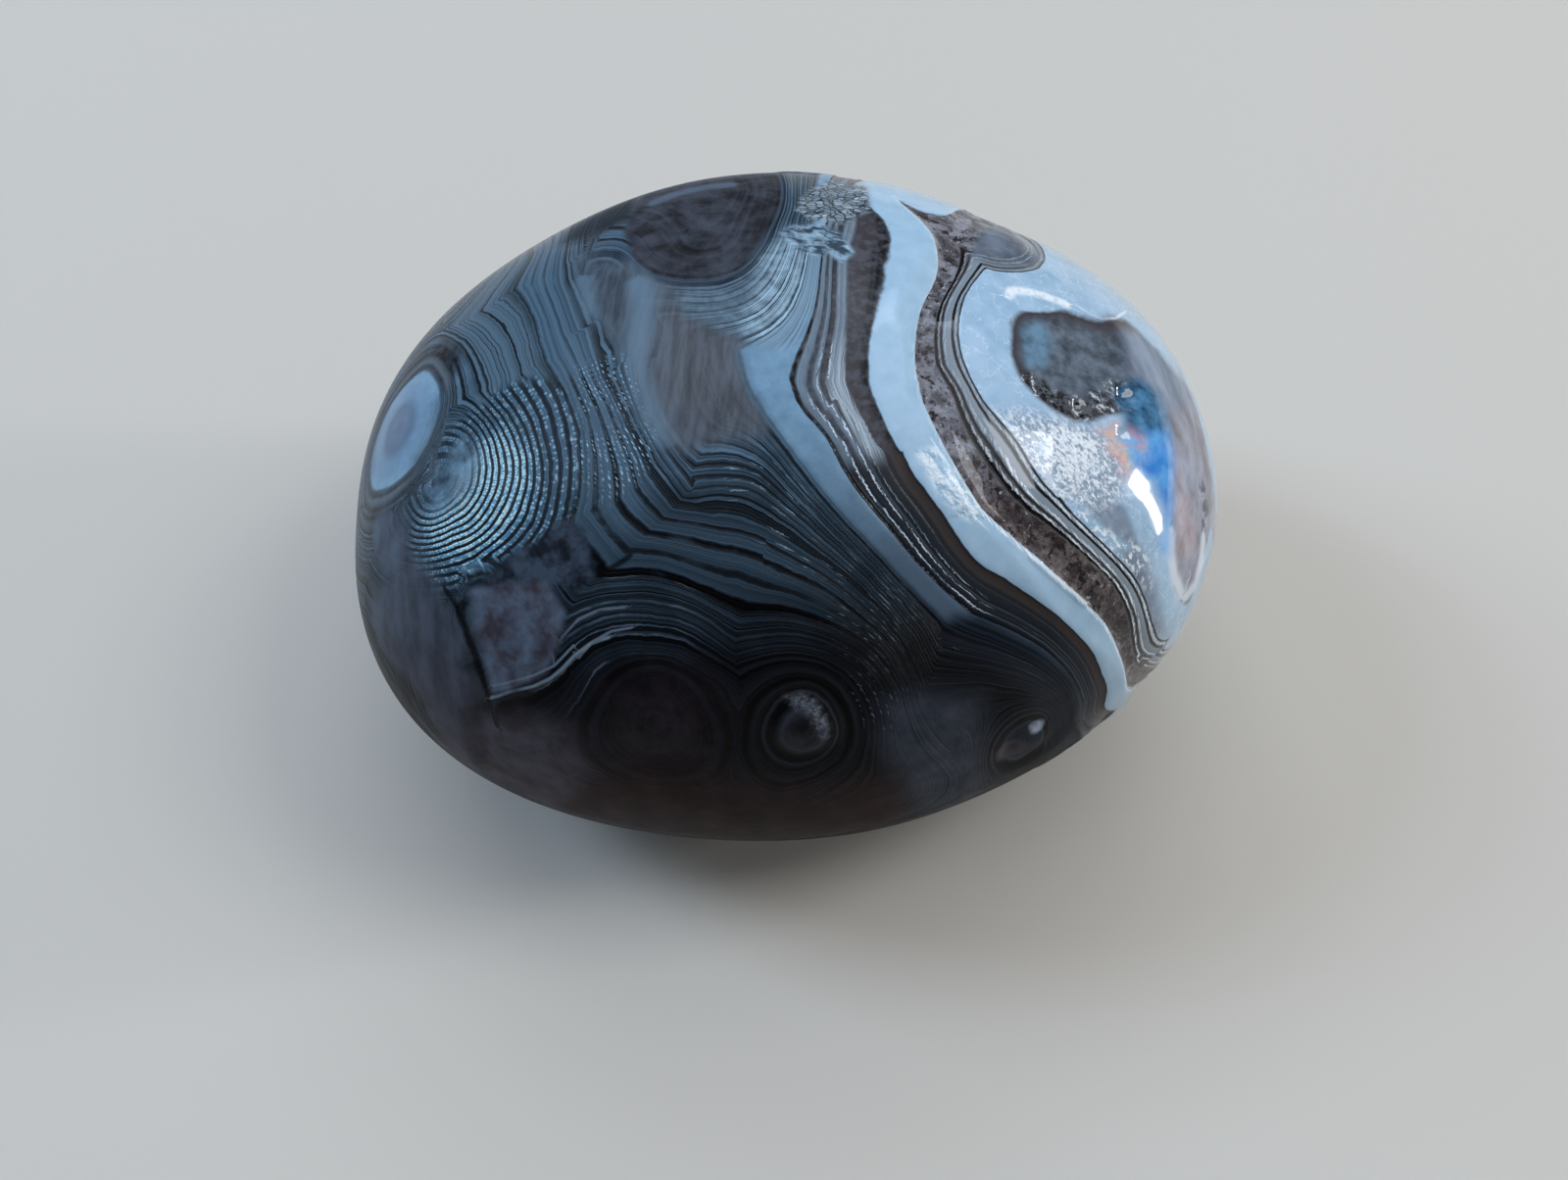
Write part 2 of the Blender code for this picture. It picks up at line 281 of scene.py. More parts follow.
# Families of lines: each has a seed, where its layer starts, and its traced lines by layer. A seed is a
# pixel, its layer and the layers per mm away from it; None stands for the quartz core.
# The layers: rings around the eyes up to 28, crowded lines, the pale band from 40, striped bands from 44,
# the outer white band from 54, brown from 60 with lines at its inner side, white from 70, quartz from 76
SEEDS = {
    "north": None,
    "streak": None,
    "south": None,
    "core": None,
    "lens": ((1020, 245), 62, 4.0),
    "button": ((1046, 757), 4, 3.0),
    "fan": ((452, 500), 5, 2.2),
    "patch": ((530, 640), 9, 2.2),
    "front left": ((668, 735), 7, 2.2),
    "front right": ((820, 742), 4, 2.9),
    "left eye": ((410, 435), 2, 3.0),
    "back left": ((470, 300), 14, 2.3),
    "far": None,
}
LINES = {
    "north": {
        20: (715, 232, 735, 232),
        24: (665, 255, 685, 268, 720, 272, 750, 262, 765, 245),
        28: (640, 262, 655, 277, 680, 285, 715, 286, 745, 282, 765, 270, 778, 252, 787, 235, 795, 215,
            800, 195),
        30: (632, 285, 655, 297, 682, 300, 712, 301),
        32: (685, 312, 710, 316, 740, 312, 765, 302, 783, 286, 793, 266, 803, 245, 812, 215),
        36: (720, 336, 745, 333, 768, 325, 785, 312, 798, 295, 808, 275, 815, 252, 820, 222),
        40: PALE_BAND_LEFT_TOP,
        44: PALE_BAND_RIGHT_TOP,
        54: WHITE_LEFT_TOP,
        60: WHITE_RIGHT_TOP,
        66: DARK_LINE_TOP,
        70: INNER_WHITE_LEFT_TOP,
    },
    "streak": {
        54: (868, 190, 882, 186, 900, 187),
        57: (905, 193, 935, 202, 960, 212),
        60: (895, 200, 918, 207, 940, 216, 965, 221),
        63: (985, 222, 1003, 233),
    },
    "south": {
        40: PALE_BAND_LEFT,
        44: PALE_BAND_RIGHT,
        54: WHITE_LEFT,
        60: WHITE_RIGHT,
        66: DARK_LINE,
        70: (*INNER_WHITE_LEFT, *INNER_WHITE_LOW),
    },
    "core": {
        54: (*WHITE_LEFT_TOP, *WHITE_LEFT),
        60: (*WHITE_RIGHT_TOP, *WHITE_RIGHT),
        66: (*DARK_LINE_TOP, *DARK_LINE),
        70: (*INNER_WHITE_LEFT_TOP, *INNER_WHITE_LEFT, *INNER_WHITE_LOW),
        72: (1112, 278, 1140, 300, 1160, 318),
        74: WHITE_GLEAM,
        76: (*CORE_TOP, *CORE_LOW, *CORE_RIGHT, *CORE_EDGE),
        78: (1208, 400, 1214, 430, 1218, 470, 1222, 510, 1220, 560),
        79: (1070, 360, 1100, 375, 1130, 370),
    },
    "lens": {
        63: (1000, 250, 1020, 245, 1035, 245),
        67: (1012, 268, 1030, 270, 1048, 268, 1055, 260),
        70: (1002, 272, 1018, 276, 1036, 277, 1052, 275, 1062, 267, 1063, 257, 1055, 247),
        72: (1004, 286, 1028, 290, 1056, 288, 1078, 278, 1084, 264, 1072, 250),
        74: (1044, 304, 1074, 301, 1098, 292, 1108, 280),
    },
    "button": {
        9: (1026, 775, 1024, 762, 1031, 749, 1044, 740, 1058, 736, 1067, 741, 1067, 752, 1056, 767,
            1041, 779),
        20: (1010, 788, 1009, 768, 1018, 748, 1035, 732, 1056, 724, 1073, 727, 1081, 740, 1076, 756),
        28: (945, 705, 975, 702, 1005, 698, 1040, 703, 1065, 712, 1077, 728, 1078, 745),
        36: (953, 660, 975, 667, 1000, 673, 1025, 680, 1050, 688, 1072, 700, 1085, 718, 1087, 738),
        40: (962, 632, 985, 641, 1010, 650, 1035, 662, 1060, 676, 1080, 692, 1092, 710, 1096, 730),
        44: (993, 630, 1015, 637, 1040, 648, 1065, 662, 1085, 680, 1100, 700, 1107, 718, 1104, 735),
        54: (1000, 577, 1020, 587, 1045, 604, 1070, 622, 1094, 644, 1110, 660, 1119, 678, 1125, 694,
            1129, 708, 1125, 722),
        60: (1096, 600, 1114, 618, 1128, 632, 1138, 645, 1145, 663, 1150, 682, 1153, 700),
        66: (1142, 595, 1150, 610, 1158, 630, 1165, 655, 1166, 675),
        70: INNER_WHITE_LOW,
        74: WHITE_GLEAM[2:],
        76: CORE_RIGHT[3:],
    },
    "fan": {
        9: (480, 430, 492, 445, 498, 465, 498, 490, 490, 512, 475, 530, 455, 542, 432, 546),
        14: (505, 412, 522, 435, 533, 462, 535, 490, 527, 515, 512, 540, 490, 560, 465, 572, 437, 577),
        17: (527, 397, 543, 425, 553, 455, 557, 485, 553, 515, 540, 545, 515, 570, 490, 588, 470, 597),
        20: (553, 370, 562, 386, 572, 406, 580, 426, 586, 450, 588, 475, 587, 500, 583, 522, 577, 541),
        22: (574, 368, 582, 382, 592, 402, 599, 422, 605, 447, 608, 470, 608, 495, 606, 518),
        28: (606, 358, 615, 385, 628, 407, 640, 430, 652, 455, 663, 480),
        31: (641, 348, 644, 370, 648, 395, 655, 420, 668, 447, 685, 472),
        35: (697, 347, 692, 380, 697, 410, 712, 435, 735, 455),
        40: PALE_BAND_LEFT[:6],
        44: PALE_BAND_RIGHT[:5],
        54: WHITE_LEFT[:5],
    },
    "patch": {
        14: (500, 600, 520, 620, 538, 645, 556, 668),
        17: (540, 580, 556, 603, 570, 625),
        20: (577, 541, 588, 556, 600, 573, 611, 587),
        22: (606, 518, 618, 537, 630, 550, 640, 561),
        24: (624, 503, 637, 523, 650, 538, 663, 545),
        28: (663, 480, 675, 499, 690, 516),
        31: (685, 472, 695, 485, 704, 499),
    },
    "front left": {
        9: (640, 712, 652, 702, 668, 698, 685, 703, 697, 715),
        11: (622, 712, 637, 695, 662, 685, 685, 688, 705, 700, 718, 718),
        12.5: (590, 693, 603, 677, 622, 666, 650, 660, 685, 664, 712, 675, 732, 688, 745, 692),
        14: (497, 714, 520, 705, 545, 700, 568, 688, 580, 677, 597, 661, 620, 652, 650, 647, 685, 650,
            713, 661, 735, 675, 748, 682),
        15: (565, 668, 577, 655, 592, 642, 615, 633, 650, 630, 690, 634, 717, 645, 738, 660, 750, 671),
        16: (560, 800, 620, 822, 690, 836, 760, 846),
        17: (578, 635, 600, 620, 640, 614, 680, 618, 712, 629, 735, 644, 748, 656),
        20: (611, 588, 625, 589, 650, 585, 680, 590, 715, 603, 745, 615, 765, 621),
        22: (640, 561, 680, 566, 720, 577, 760, 589),
        24: (663, 545, 700, 551, 740, 562),
        28: (690, 516, 720, 520, 760, 525),
        31: (704, 499, 735, 507, 765, 515),
    },
    "front right": {
        9: (786, 742, 797, 722, 818, 710, 840, 720, 852, 742, 846, 765),
        12: (765, 712, 780, 698, 805, 690, 830, 692, 852, 705, 866, 725, 870, 750, 862, 775, 845, 790),
        15: (750, 671, 775, 663, 805, 660, 835, 664, 862, 678, 882, 697, 893, 720, 897, 745),
        16: (780, 846, 840, 838, 890, 822, 930, 808),
        17: (748, 656, 775, 650, 805, 648, 840, 655, 868, 668, 892, 690, 905, 712, 912, 740),
        20: (765, 621, 800, 624, 830, 632, 860, 646, 885, 662, 905, 683, 920, 708, 927, 738),
        22: (760, 589, 800, 600, 830, 611, 860, 628, 888, 647, 910, 670, 926, 698),
        24: (740, 562, 780, 574, 820, 592, 855, 612, 880, 632, 902, 655, 920, 682, 932, 705),
        28: (720, 520, 760, 525, 790, 541, 820, 560, 850, 582, 880, 606, 905, 630, 925, 655, 940, 685,
            944, 708),
        31.5: (740, 485, 770, 490, 800, 512, 830, 536, 860, 563, 890, 590, 915, 618, 935, 645, 948, 675),
        36: (752, 442, 780, 455, 800, 478, 825, 508, 850, 535, 880, 566, 905, 594, 930, 624, 953, 655),
        40: PALE_BAND_LEFT[2:],
        44: PALE_BAND_RIGHT[4:],
        54: WHITE_LEFT[4:],
    },
    "left eye": {
        8: (430, 377, 442, 385, 448, 400, 447, 420, 440, 442, 428, 465, 412, 485, 395, 498, 380, 500),
        11: (427, 368, 445, 357, 460, 368, 467, 385, 469, 405, 466, 428),
        13: (440, 348, 462, 350, 477, 368, 484, 390, 486, 412),
        16: (470, 329, 490, 340, 505, 358, 513, 380, 516, 398),
        18.5: (493, 315, 510, 325, 523, 345, 531, 368, 535, 385),
        20: (520, 298, 531, 306, 541, 322, 547, 342, 551, 362),
        22: (543, 290, 552, 307, 560, 325, 565, 345, 572, 364),
        28: (575, 290, 583, 310, 590, 330, 598, 345, 606, 358),
        30: (622, 292, 628, 320, 634, 345),
    },
    "back left": {
        16: (515, 275, 500, 292, 485, 310, 472, 327),
        18.5: (530, 265, 520, 278, 508, 295, 496, 313),
        20: (541, 257, 537, 270, 528, 285, 520, 298),
        22: (556, 252, 551, 265, 545, 280, 543, 290),
        28: (578, 245, 575, 262, 574, 280, 576, 292),
    },
}

# Lines on the sides that the photo doesn't show, by family and layer, as azimuth and elevation
INNER_LINES = {
    70: [(30, 24), (24, 13), (12, 3), (0, -2), (-13, -5), (-25, -3), (-32, 3)],
    74: [(22, 25), (17, 16), (8, 9), (-2, 5), (-13, 3), (-22, 4)],
}
HIDDEN_LINES = {
    "core": INNER_LINES,
    "far": {
        28: [(86, 12), (80, -6), (62, -26), (36, -46), (-5, -60), (-45, -50), (-60, -30), (-62, -18)],
        40: [(79, 32), (74, 10), (62, -10), (42, -27), (12, -40), (-20, -42), (-42, -30), (-51, -14)],
        44: [(74, 32), (68, 12), (55, -6), (35, -20), (10, -30), (-15, -32), (-35, -24), (-46, -12)],
        54: [(64, 31), (55, 13), (40, -2), (20, -13), (0, -20), (-18, -20), (-32, -15), (-40, -6)],
        60: [(46, 27), (39, 13), (25, 1), (8, -8), (-12, -12), (-27, -10), (-35, -4)],
        **INNER_LINES,
    },
}

# Eyes on the hidden sides: azimuth, elevation, layer in the middle, layers per mm, radius in mm
HIDDEN_EYES = {
    "back eye": (95, -8, 4, 2.6, 9),
    "back left eye": (140, -12, 6, 2.4, 9),
    "left low": (-168, -30, 9, 1.6, 8),
    "under front": (-110, -55, 8, 1.6, 9),
    "under back": (100, -60, 9, 2.2, 10),
    "under right": (-68, -40, 12, 2.4, 8),
}
CORE_PLACE = (-3, 36)
CORE_LAYER = 80
LAYERS_PER_MM = 2.45
LINE_REACH = 5 * MM
LINE_LOOSENESS = 2e-3
SEED_ROUNDING = 1 * MM
BORDER_MARGIN = 0.9 * MM
BORDER_RISE = 10


def cone(points, place, layer, layers_per_mm):
    """A layer that rises evenly with the distance from a place."""
    distance = distance_to(points, place)
    return layer + layers_per_mm / MM * (np.sqrt(distance**2 + SEED_ROUNDING**2) - SEED_ROUNDING)


def core_fall(points):
    return CORE_LAYER - LAYERS_PER_MM / MM * distance_to(points, spot_place(*CORE_PLACE))


class LineFamily:
    """A smooth layer field through a family's traced lines."""

    def __init__(self, points, layers, general):
        self.points = points
        self.general = general
        weights, _ = self.nearness(points)
        weights += LINE_LOOSENESS * np.eye(len(points))
        self.strength = np.linalg.solve(weights, layers - general(points))

    def nearness(self, points):
        distance = np.linalg.norm(points[:, None] - self.points[None], axis=2)
        share = distance / LINE_REACH
        return np.exp(-share) * (1 + share), distance.min(axis=1)

    def field(self, points):
        weights, nearest = self.nearness(points)
        return self.general(points) + weights @ self.strength, nearest


def line_points(view, name):
    """The points on a family's lines and the layer of each."""
    runs = {("seen", layer): view.places(line) for layer, line in LINES.get(name, {}).items()}
    for layer, stops in HIDDEN_LINES.get(name, {}).items():
        runs["hidden", layer] = worn_surface(np.array([direction(*stop) for stop in stops]))
    layers = [float(layer) for (_, layer), run in runs.items() for _ in run]
    return np.concatenate([*runs.values()]), np.array(layers)


def line_families(view):
    for name, seed in SEEDS.items():
        general = core_fall
        if seed:
            pixel, layer, rise = seed
            general = partial(cone, place=view.places(pixel)[0], layer=layer, layers_per_mm=rise)
        yield LineFamily(*line_points(view, name), general)


def layer_field(points, view):
    """The layer at each point: the lowest of the families', each kept to where its own lines are."""
    fields, distances = [], []
    for family in line_families(view):
        field, nearest = family.field(points)
        fields.append(field)
        distances.append(nearest)
    for azimuth, elevation, layer, rise, radius in HIDDEN_EYES.values():
        place = spot_place(azimuth, elevation)
        fields.append(cone(points, place, layer, rise))
        distances.append(np.maximum(distance_to(points, place) - radius * MM, 0))
    fields, distances = np.array(fields), np.array(distances)
    outside = np.maximum(distances - distances.min(axis=0) - BORDER_MARGIN, 0)
    return (fields + BORDER_RISE / MM * outside).min(axis=0)


def cube_sphere(steps):
    """Unit vectors and four-sided faces of a sphere made from a cube."""
    side = np.arange(steps + 1)
    corners, faces = [], []
    for axis in range(3):
        for end in (0, steps):
            u, v = np.meshgrid(side, side, indexing="ij")
            lattice = np.empty((steps + 1, steps + 1, 3), int)
            lattice[..., axis] = end
            lattice[..., (axis + 1) % 3] = u
            lattice[..., (axis + 2) % 3] = v
            number = len(corners) * (steps + 1) ** 2 + np.arange((steps + 1) ** 2).reshape(steps + 1, -1)
            quads = np.stack([number[:-1, :-1], number[1:, :-1], number[1:, 1:], number[:-1, 1:]], axis=-1)
            quads = quads.reshape(-1, 4)
            faces.append(quads if end else quads[:, ::-1])
            corners.append(lattice.reshape(-1, 3))
    lattice, index = np.unique(np.concatenate(corners), axis=0, return_inverse=True)
    faces = index.reshape(-1)[np.concatenate(faces)]
    return unit(np.tan((lattice / steps * 2 - 1) * np.pi / 4)), faces


def smooth_step(values, start, end):
    t = np.clip((values - start) / (end - start), 0, 1)
    return t * t * (3 - 2 * t)


def spots(points, view, marks):
    """1 inside any of the marks, each a pixel and a radius in mm, and 0 away from them."""
    mask = np.zeros(len(points))
    places = view.places([mark[:2] for mark in marks])
    for place, mark in zip(places, marks):
        mask = np.maximum(mask, 1 - smooth_step(distance_to(points, place) / (mark[2] * MM), 0.6, 1.2))
    return mask


# Round soft places, as pixels of the photo and radii in mm
PLACES = {
    "strip_dark": ((1189, 466, 0.5), (1228, 500, 0.5), (1231, 520, 0.6), (1229, 536, 0.4)),
    "strip_pink": ((1196, 482, 1.0), (1206, 520, 1.0), (1210, 545, 1.2)),
    "pale_eye": ((405, 440, 3.2), (420, 400, 2.9), (395, 480, 2.6), (440, 380, 2.2)),
    "smooth_left": ((400, 560, 1.6), (420, 620, 2.6), (440, 680, 2.6), (400, 640, 2.4), (470, 740, 2.2),
                    (455, 650, 1.7), (470, 700, 1.4), (390, 540, 1.2), (520, 770, 2.0), (560, 790, 1.6)),
    "button": ((1046, 757, 2.8),),
    "button_glint": ((1060, 743, 0.40),),
    "button_foot": ((1032, 768, 0.8),),
    "front_dome": ((820, 742, 2.9),),
    "vugs": ((1062, 398, 0.7), (1085, 412, 0.8), (1105, 418, 0.8), (1128, 412, 0.8), (1148, 402, 0.9),
             (1050, 388, 0.5)),
    "sheaf_light": ((808, 268, 1.7), (806, 300, 1.8), (790, 328, 1.6)),
}

# Areas: softness and outline, in pixels of the photo
AREAS = {
    "cloud": (13, 585, 258, 612, 262, 645, 268, 690, 292, 742, 298, 764, 335, 760, 365, 768, 400, 788, 432,
        772, 446, 735, 452, 700, 462, 672, 452, 654, 425, 646, 392, 632, 350, 612, 330, 598, 322, 588, 298),
    "lobe": (7, 572, 248, 588, 228, 616, 212, 650, 198, 646, 226, 618, 236, 592, 246),
    "brown_haze": (42, 672, 310, 760, 330, 780, 430, 700, 450, 664, 400),
    "dark_eye": (4, 636, 236, 648, 268, 672, 286, 705, 291, 738, 287, 758, 275, 771, 256, 783, 238,
        797, 220, 806, 200, 800, 176, 740, 170, 690, 182, 655, 198),
    "sheaf": (7, 690, 298, 740, 294, 764, 276, 780, 252, 797, 230, 832, 232, 834, 300, 812, 338, 790, 348,
        762, 348, 738, 338, 700, 322),
    "grey_rings": (9, 462, 325, 500, 280, 545, 248, 580, 240, 592, 262, 590, 298, 602, 330, 612, 358,
        604, 378, 572, 386, 540, 388, 512, 402, 486, 418, 486, 380, 470, 345),
    "crackle": (4, 812, 214, 822, 196, 850, 184, 884, 192, 888, 214, 862, 227, 830, 226),
    "block": (3, 796, 236, 812, 229, 838, 229, 856, 236, 872, 257, 860, 267, 846, 258, 832, 262, 806, 250),
    "fan": (8, 440, 470, 468, 432, 515, 394, 548, 386, 578, 402, 592, 440, 594, 490, 578, 528, 545, 554,
        508, 576, 478, 592, 452, 594, 428, 582, 420, 545, 426, 505),
    "fan_middle": (12, 428, 514, 444, 480, 464, 450, 482, 444, 492, 462, 484, 492, 468, 514, 446, 528),
    "under_fan": (6, 472, 608, 490, 592, 508, 574, 545, 552, 574, 528, 598, 540, 606, 588, 590, 604,
        560, 594, 520, 600, 490, 616),
    "glow": (14, 448, 505, 478, 458, 512, 438, 542, 462, 538, 515, 508, 558, 472, 572, 446, 562, 436, 535),
    "glints": (8, 590, 375, 642, 360, 662, 410, 674, 455, 652, 490, 612, 520, 590, 470),
    "dashes": (12, 740, 470, 800, 462, 850, 520, 905, 585, 955, 640, 985, 662, 948, 690, 932, 705, 912, 748,
        880, 748, 860, 685, 850, 640, 830, 600, 790, 560, 745, 520),
    "upper_left": (22, 520, 700, 560, 610, 620, 585, 700, 600, 700, 650, 640, 660, 590, 700, 560, 730),
    "calm": (36, 606, 735, 618, 700, 660, 676, 715, 686, 745, 730, 730, 790, 670, 810, 615, 790),
    "foot": (26, 540, 790, 600, 790, 680, 786, 760, 800, 850, 805, 920, 790, 930, 900, 500, 900),
    "low_left": (20, 480, 745, 530, 730, 580, 745, 600, 790, 560, 830, 500, 800, 450, 760),
    "low_right": (24, 900, 755, 905, 718, 940, 706, 1000, 715, 1010, 800, 1050, 810, 1120, 750, 1130, 800,
        1000, 880, 950, 850),
    "south": (30, 610, 560, 660, 500, 720, 470, 790, 470, 860, 560, 930, 630, 1000, 680, 1090, 740,
        980, 860, 700, 900, 520, 800, 540, 690),
    "patch": (5, 480, 602, 520, 596, 558, 592, 576, 624, 570, 660, 556, 688, 522, 704, 500, 708, 488, 670),
    "dome_light": (5, 800, 713, 818, 709, 834, 716, 844, 731, 845, 750, 838, 752, 832, 738, 824, 726,
        810, 720),
    "upper_bands": (16, 790, 170, 930, 170, 940, 400, 925, 440, 895, 468, 862, 470, 836, 436, 796, 390),
    "pale_stripe": (12, 862, 345, 892, 345, 896, 400, 912, 440, 905, 474, 872, 462, 846, 410, 846, 385),
    "band_glints": (8, 838, 350, 858, 345, 862, 385, 880, 440, 905, 495, 950, 556, 996, 600, 1010, 626,
        985, 650, 940, 610, 880, 545, 842, 485, 824, 430),
    "fade_out": (12, 972, 630, 1000, 628, 1060, 660, 1100, 690, 1125, 740, 1080, 760, 1050, 700, 990, 668,
        960, 655),
    "wet": (6, 934, 462, 952, 456, 978, 488, 1004, 516, 1012, 532, 986, 530, 958, 506),
    "frost": (13, 1006, 424, 1040, 420, 1090, 428, 1125, 442, 1146, 474, 1142, 506, 1122, 520, 1092, 512,
        1058, 486, 1028, 454),
    "frost_core": (12, 1058, 440, 1090, 434, 1116, 446, 1122, 474, 1104, 494, 1080, 486, 1062, 464),
    "shards": (8, 1060, 488, 1096, 500, 1108, 524, 1140, 550, 1168, 560, 1172, 600, 1150, 580, 1118, 552,
        1084, 520),
    "grey_spot": (4, 1106, 508, 1126, 504, 1146, 518, 1158, 546, 1162, 566, 1148, 556, 1130, 540,
        1112, 526),
    "grey_low": (9, 1142, 560, 1162, 556, 1176, 590, 1190, 650, 1168, 655, 1152, 605),
    "lens": (4, 1002, 236, 1014, 230, 1034, 238, 1056, 252, 1068, 266, 1054, 273, 1030, 273, 1008, 269,
        992, 262),
    "violet": (4, 1150, 344, 1172, 336, 1200, 352, 1222, 395, 1238, 450, 1248, 500, 1250, 545, 1240, 590,
        1212, 606, 1200, 598, 1193, 560, 1196, 500, 1194, 462, 1186, 424, 1174, 396, 1156, 376),
    "violet_top": (14, 1146, 340, 1180, 330, 1220, 380, 1215, 420, 1190, 415, 1160, 380),
    "dark_blue": (7, 1142, 396, 1162, 386, 1184, 400, 1194, 430, 1194, 450, 1166, 452, 1146, 436),
    "fire_blue": (10, 1152, 450, 1170, 440, 1192, 440, 1198, 470, 1196, 520, 1192, 566, 1184, 560,
        1186, 520, 1176, 492, 1156, 482),
    "fire_pink": (9, 1114, 440, 1140, 430, 1166, 446, 1168, 468, 1154, 482, 1146, 488, 1130, 462),
    "blue_quartz": (9, 1038, 330, 1062, 326, 1076, 345, 1070, 372, 1046, 372),
}

# Single marks along traced lines
MARKS = {
    "cracks": (
        (458, 598, 470, 615, 479, 640, 485, 668, 492, 700, 499, 722, 508, 742),
        (612, 586, 632, 575, 644, 566),
    ),
    "gleams": (
        (500, 701, 520, 696, 545, 689, 566, 679, 586, 658),
        (640, 619, 612, 622, 590, 632, 572, 652),
        (590, 672, 604, 655, 624, 644, 646, 640),
    ),
    "pale_and_glint_lines": (
        (497, 714, 520, 706, 545, 700, 562, 692, 574, 682, 586, 669, 602, 657, 622, 650),
        (1096, 312, 1110, 320, 1124, 326, 1138, 325, 1148, 318),
        (950, 472, 960, 486, 972, 500, 984, 516),
        (998, 524, 984, 508, 974, 498),
        (1053, 566, 1073, 583, 1092, 599, 1114, 618),
    ),
    "curl": (
        (1193, 540, 1194, 565, 1198, 590, 1206, 608),
        (1229, 545, 1225, 575, 1218, 598, 1208, 612),
    ),
    "top_rim_reflection": (
        (664, 208, 690, 198, 720, 191, 748, 188),
    ),
    "ridge_highlight": (
        (1026, 303, 1032, 297, 1045, 298, 1062, 302, 1076, 307, 1090, 312),
    ),
    "streaks": (
        (652, 285, 657, 305, 653, 335, 646, 365, 650, 395, 662, 428, 674, 456),
        (602, 345, 594, 312, 592, 285),
    ),
}

# Rows of flecks: around a place, starting from the direction of a second one, or along a path. The
# radius turns the angle around a place into mm
LOW_BANDS = trace(1020, 586, 1045, 601, 1070, 620, 1092, 637, 1108, 650, 1119, 667, 1126, 687)
ROWS = {
    "around_fan": (452, 500, 560, 490),
    "around_dome": (820, 742, 900, 640),
    "along_bands": (*WHITE_LEFT_TOP[::-1], *WHITE_LEFT[1:], *LOW_BANDS),
}
ROW_RADIUS = 5.5

# Places made of others, each with its share: where the ridges are worn smooth or stand high, where the
# gloss is satin, and where the ground is frosted or crumbly
MIXED_PLACES = {
    "smooth": {
        "smooth_left": 1, "under_fan": 1, "cloud": 1, "pale_cap": 1, "fan_middle": 1, "lens": 1, "foot": 1,
        "calm": 0.8, "low_left": 1, "patch": 0.85, "dark_eye": 0.92, "grey_rings": 0.75, "dusk": 0.4},
    "high_ridges": {"fan": 0.7, "dashes": 0.5},
    "satin": {
        "lobe": 1, "low_left": 1, "low_right": 1, "smooth_left": 0.6, "cloud": 0.6, "foot": 1, "dark_eye": 1,
        "dusk": 0.9, "south": 0.6},
    "frosted_ground": {"frost": 1, "wet": 1},
    "crumbly_ground": {"crackle": 1, "block": 1},
}


def outline_distance(pixels, corners):
    """Distance in pixels from an outline, positive inside."""
    offsets, _ = nearest_on_path(pixels, [*corners, corners[0]])
    inside = np.zeros(len(pixels), bool)
    for start, end in zip(corners, np.roll(corners, -1, axis=0)):
        step = end - start
        crosses = (start[1] > pixels[:, 1]) != (end[1] > pixels[:, 1])
        edge = start[0] + (pixels[:, 1] - start[1]) / (step[1] or 1) * step[0]
        inside ^= crosses & (pixels[:, 0] < edge)
    return np.where(inside, 1, -1) * np.linalg.norm(offsets, axis=1)


def area_mask(pixels, facing, softness, *outline):
    """1 inside an outline on the side that faces the camera, 0 outside, with a soft edge."""
    inside = smooth_step(outline_distance(pixels, trace(*outline)), -softness, softness)
    return inside * smooth_step(facing, -0.05, 0.12)


def across_lines(points, view, lines):
    """Signed distance in mm across the nearest traced line, growing with the distance past its ends."""
    result = np.full(len(points), np.inf)
    for line in lines:
        path = view.places(line)
        offsets, _ = nearest_on_path(points, path)
        outward = unit(path.mean(axis=0) - [0, 0, CENTRE_HEIGHT])
        side = unit(np.cross(path[-1] - path[0], outward))
        distance = np.linalg.norm(offsets, axis=1)
        ends = np.maximum(distance_to(points, path[0]), distance_to(points, path[-1]))
        beyond = np.maximum(ends - np.linalg.norm(path[-1] - path[0]), 0)
        across = np.where(offsets @ side > 0, 1, -1) * (distance + 2 * beyond) / MM
        result = np.where(np.abs(across) < np.abs(result), across, result)
    return result


def along_row(points, view, line):
    """Distance in mm along a row of flecks: a path, or a circle given by its middle and its start."""
    path = view.places(line)
    if len(path) > 2:
        return nearest_on_path(points, path)[1] / MM
    centre, start = path
    outward = unit(centre - [0, 0, CENTRE_HEIGHT])
    side = unit(np.cross(outward, start - centre))
    offset = points - centre
    return ROW_RADIUS * np.arctan2(offset @ side, offset @ np.cross(side, outward))


def surface_values(worn, layer, view):
    """Everything that the material reads from the surface, by name."""
    pixels, facing = view.pixels(worn)
    values = {name: spots(worn, view, marks) for name, marks in PLACES.items()}
    for name, area in AREAS.items():
        values[name] = area_mask(pixels, facing, *area)
    for name, lines in MARKS.items():
        values[name] = across_lines(worn, view, lines)
        values[name + "_zone"] = 1 - smooth_step(np.abs(values[name]), 0.8, 1.3)
    for name, line in ROWS.items():
        values[name] = along_row(worn, view, line)
    values["layer"] = layer
    values["dusk"] = dusk(worn)
    values["pale_cap"] = values["pale_eye"] * (1 - smooth_step(layer, 12.8, 14.2))
    for name, shares in MIXED_PLACES.items():
        values[name] = np.max([share * values[place] for place, share in shares.items()], axis=0)
    return values


def fine_relief(points, layer):
    """Height of the hard bands above the soft ones."""
    levels = (0, 9, 20, 28, 39, 40.5, 43.5, 45, 53, 54.5, 59.5, 61, 69, 70.5, 75.5, 77, 80)
    heights = (0, 0, 0, 0, 0, 0.06, 0.06, -0.04, -0.02, 0.09, 0.09, -0.06, 0, 0.07, 0.07, -0.02, -0.05)
    return np.interp(layer, levels, heights) * MM


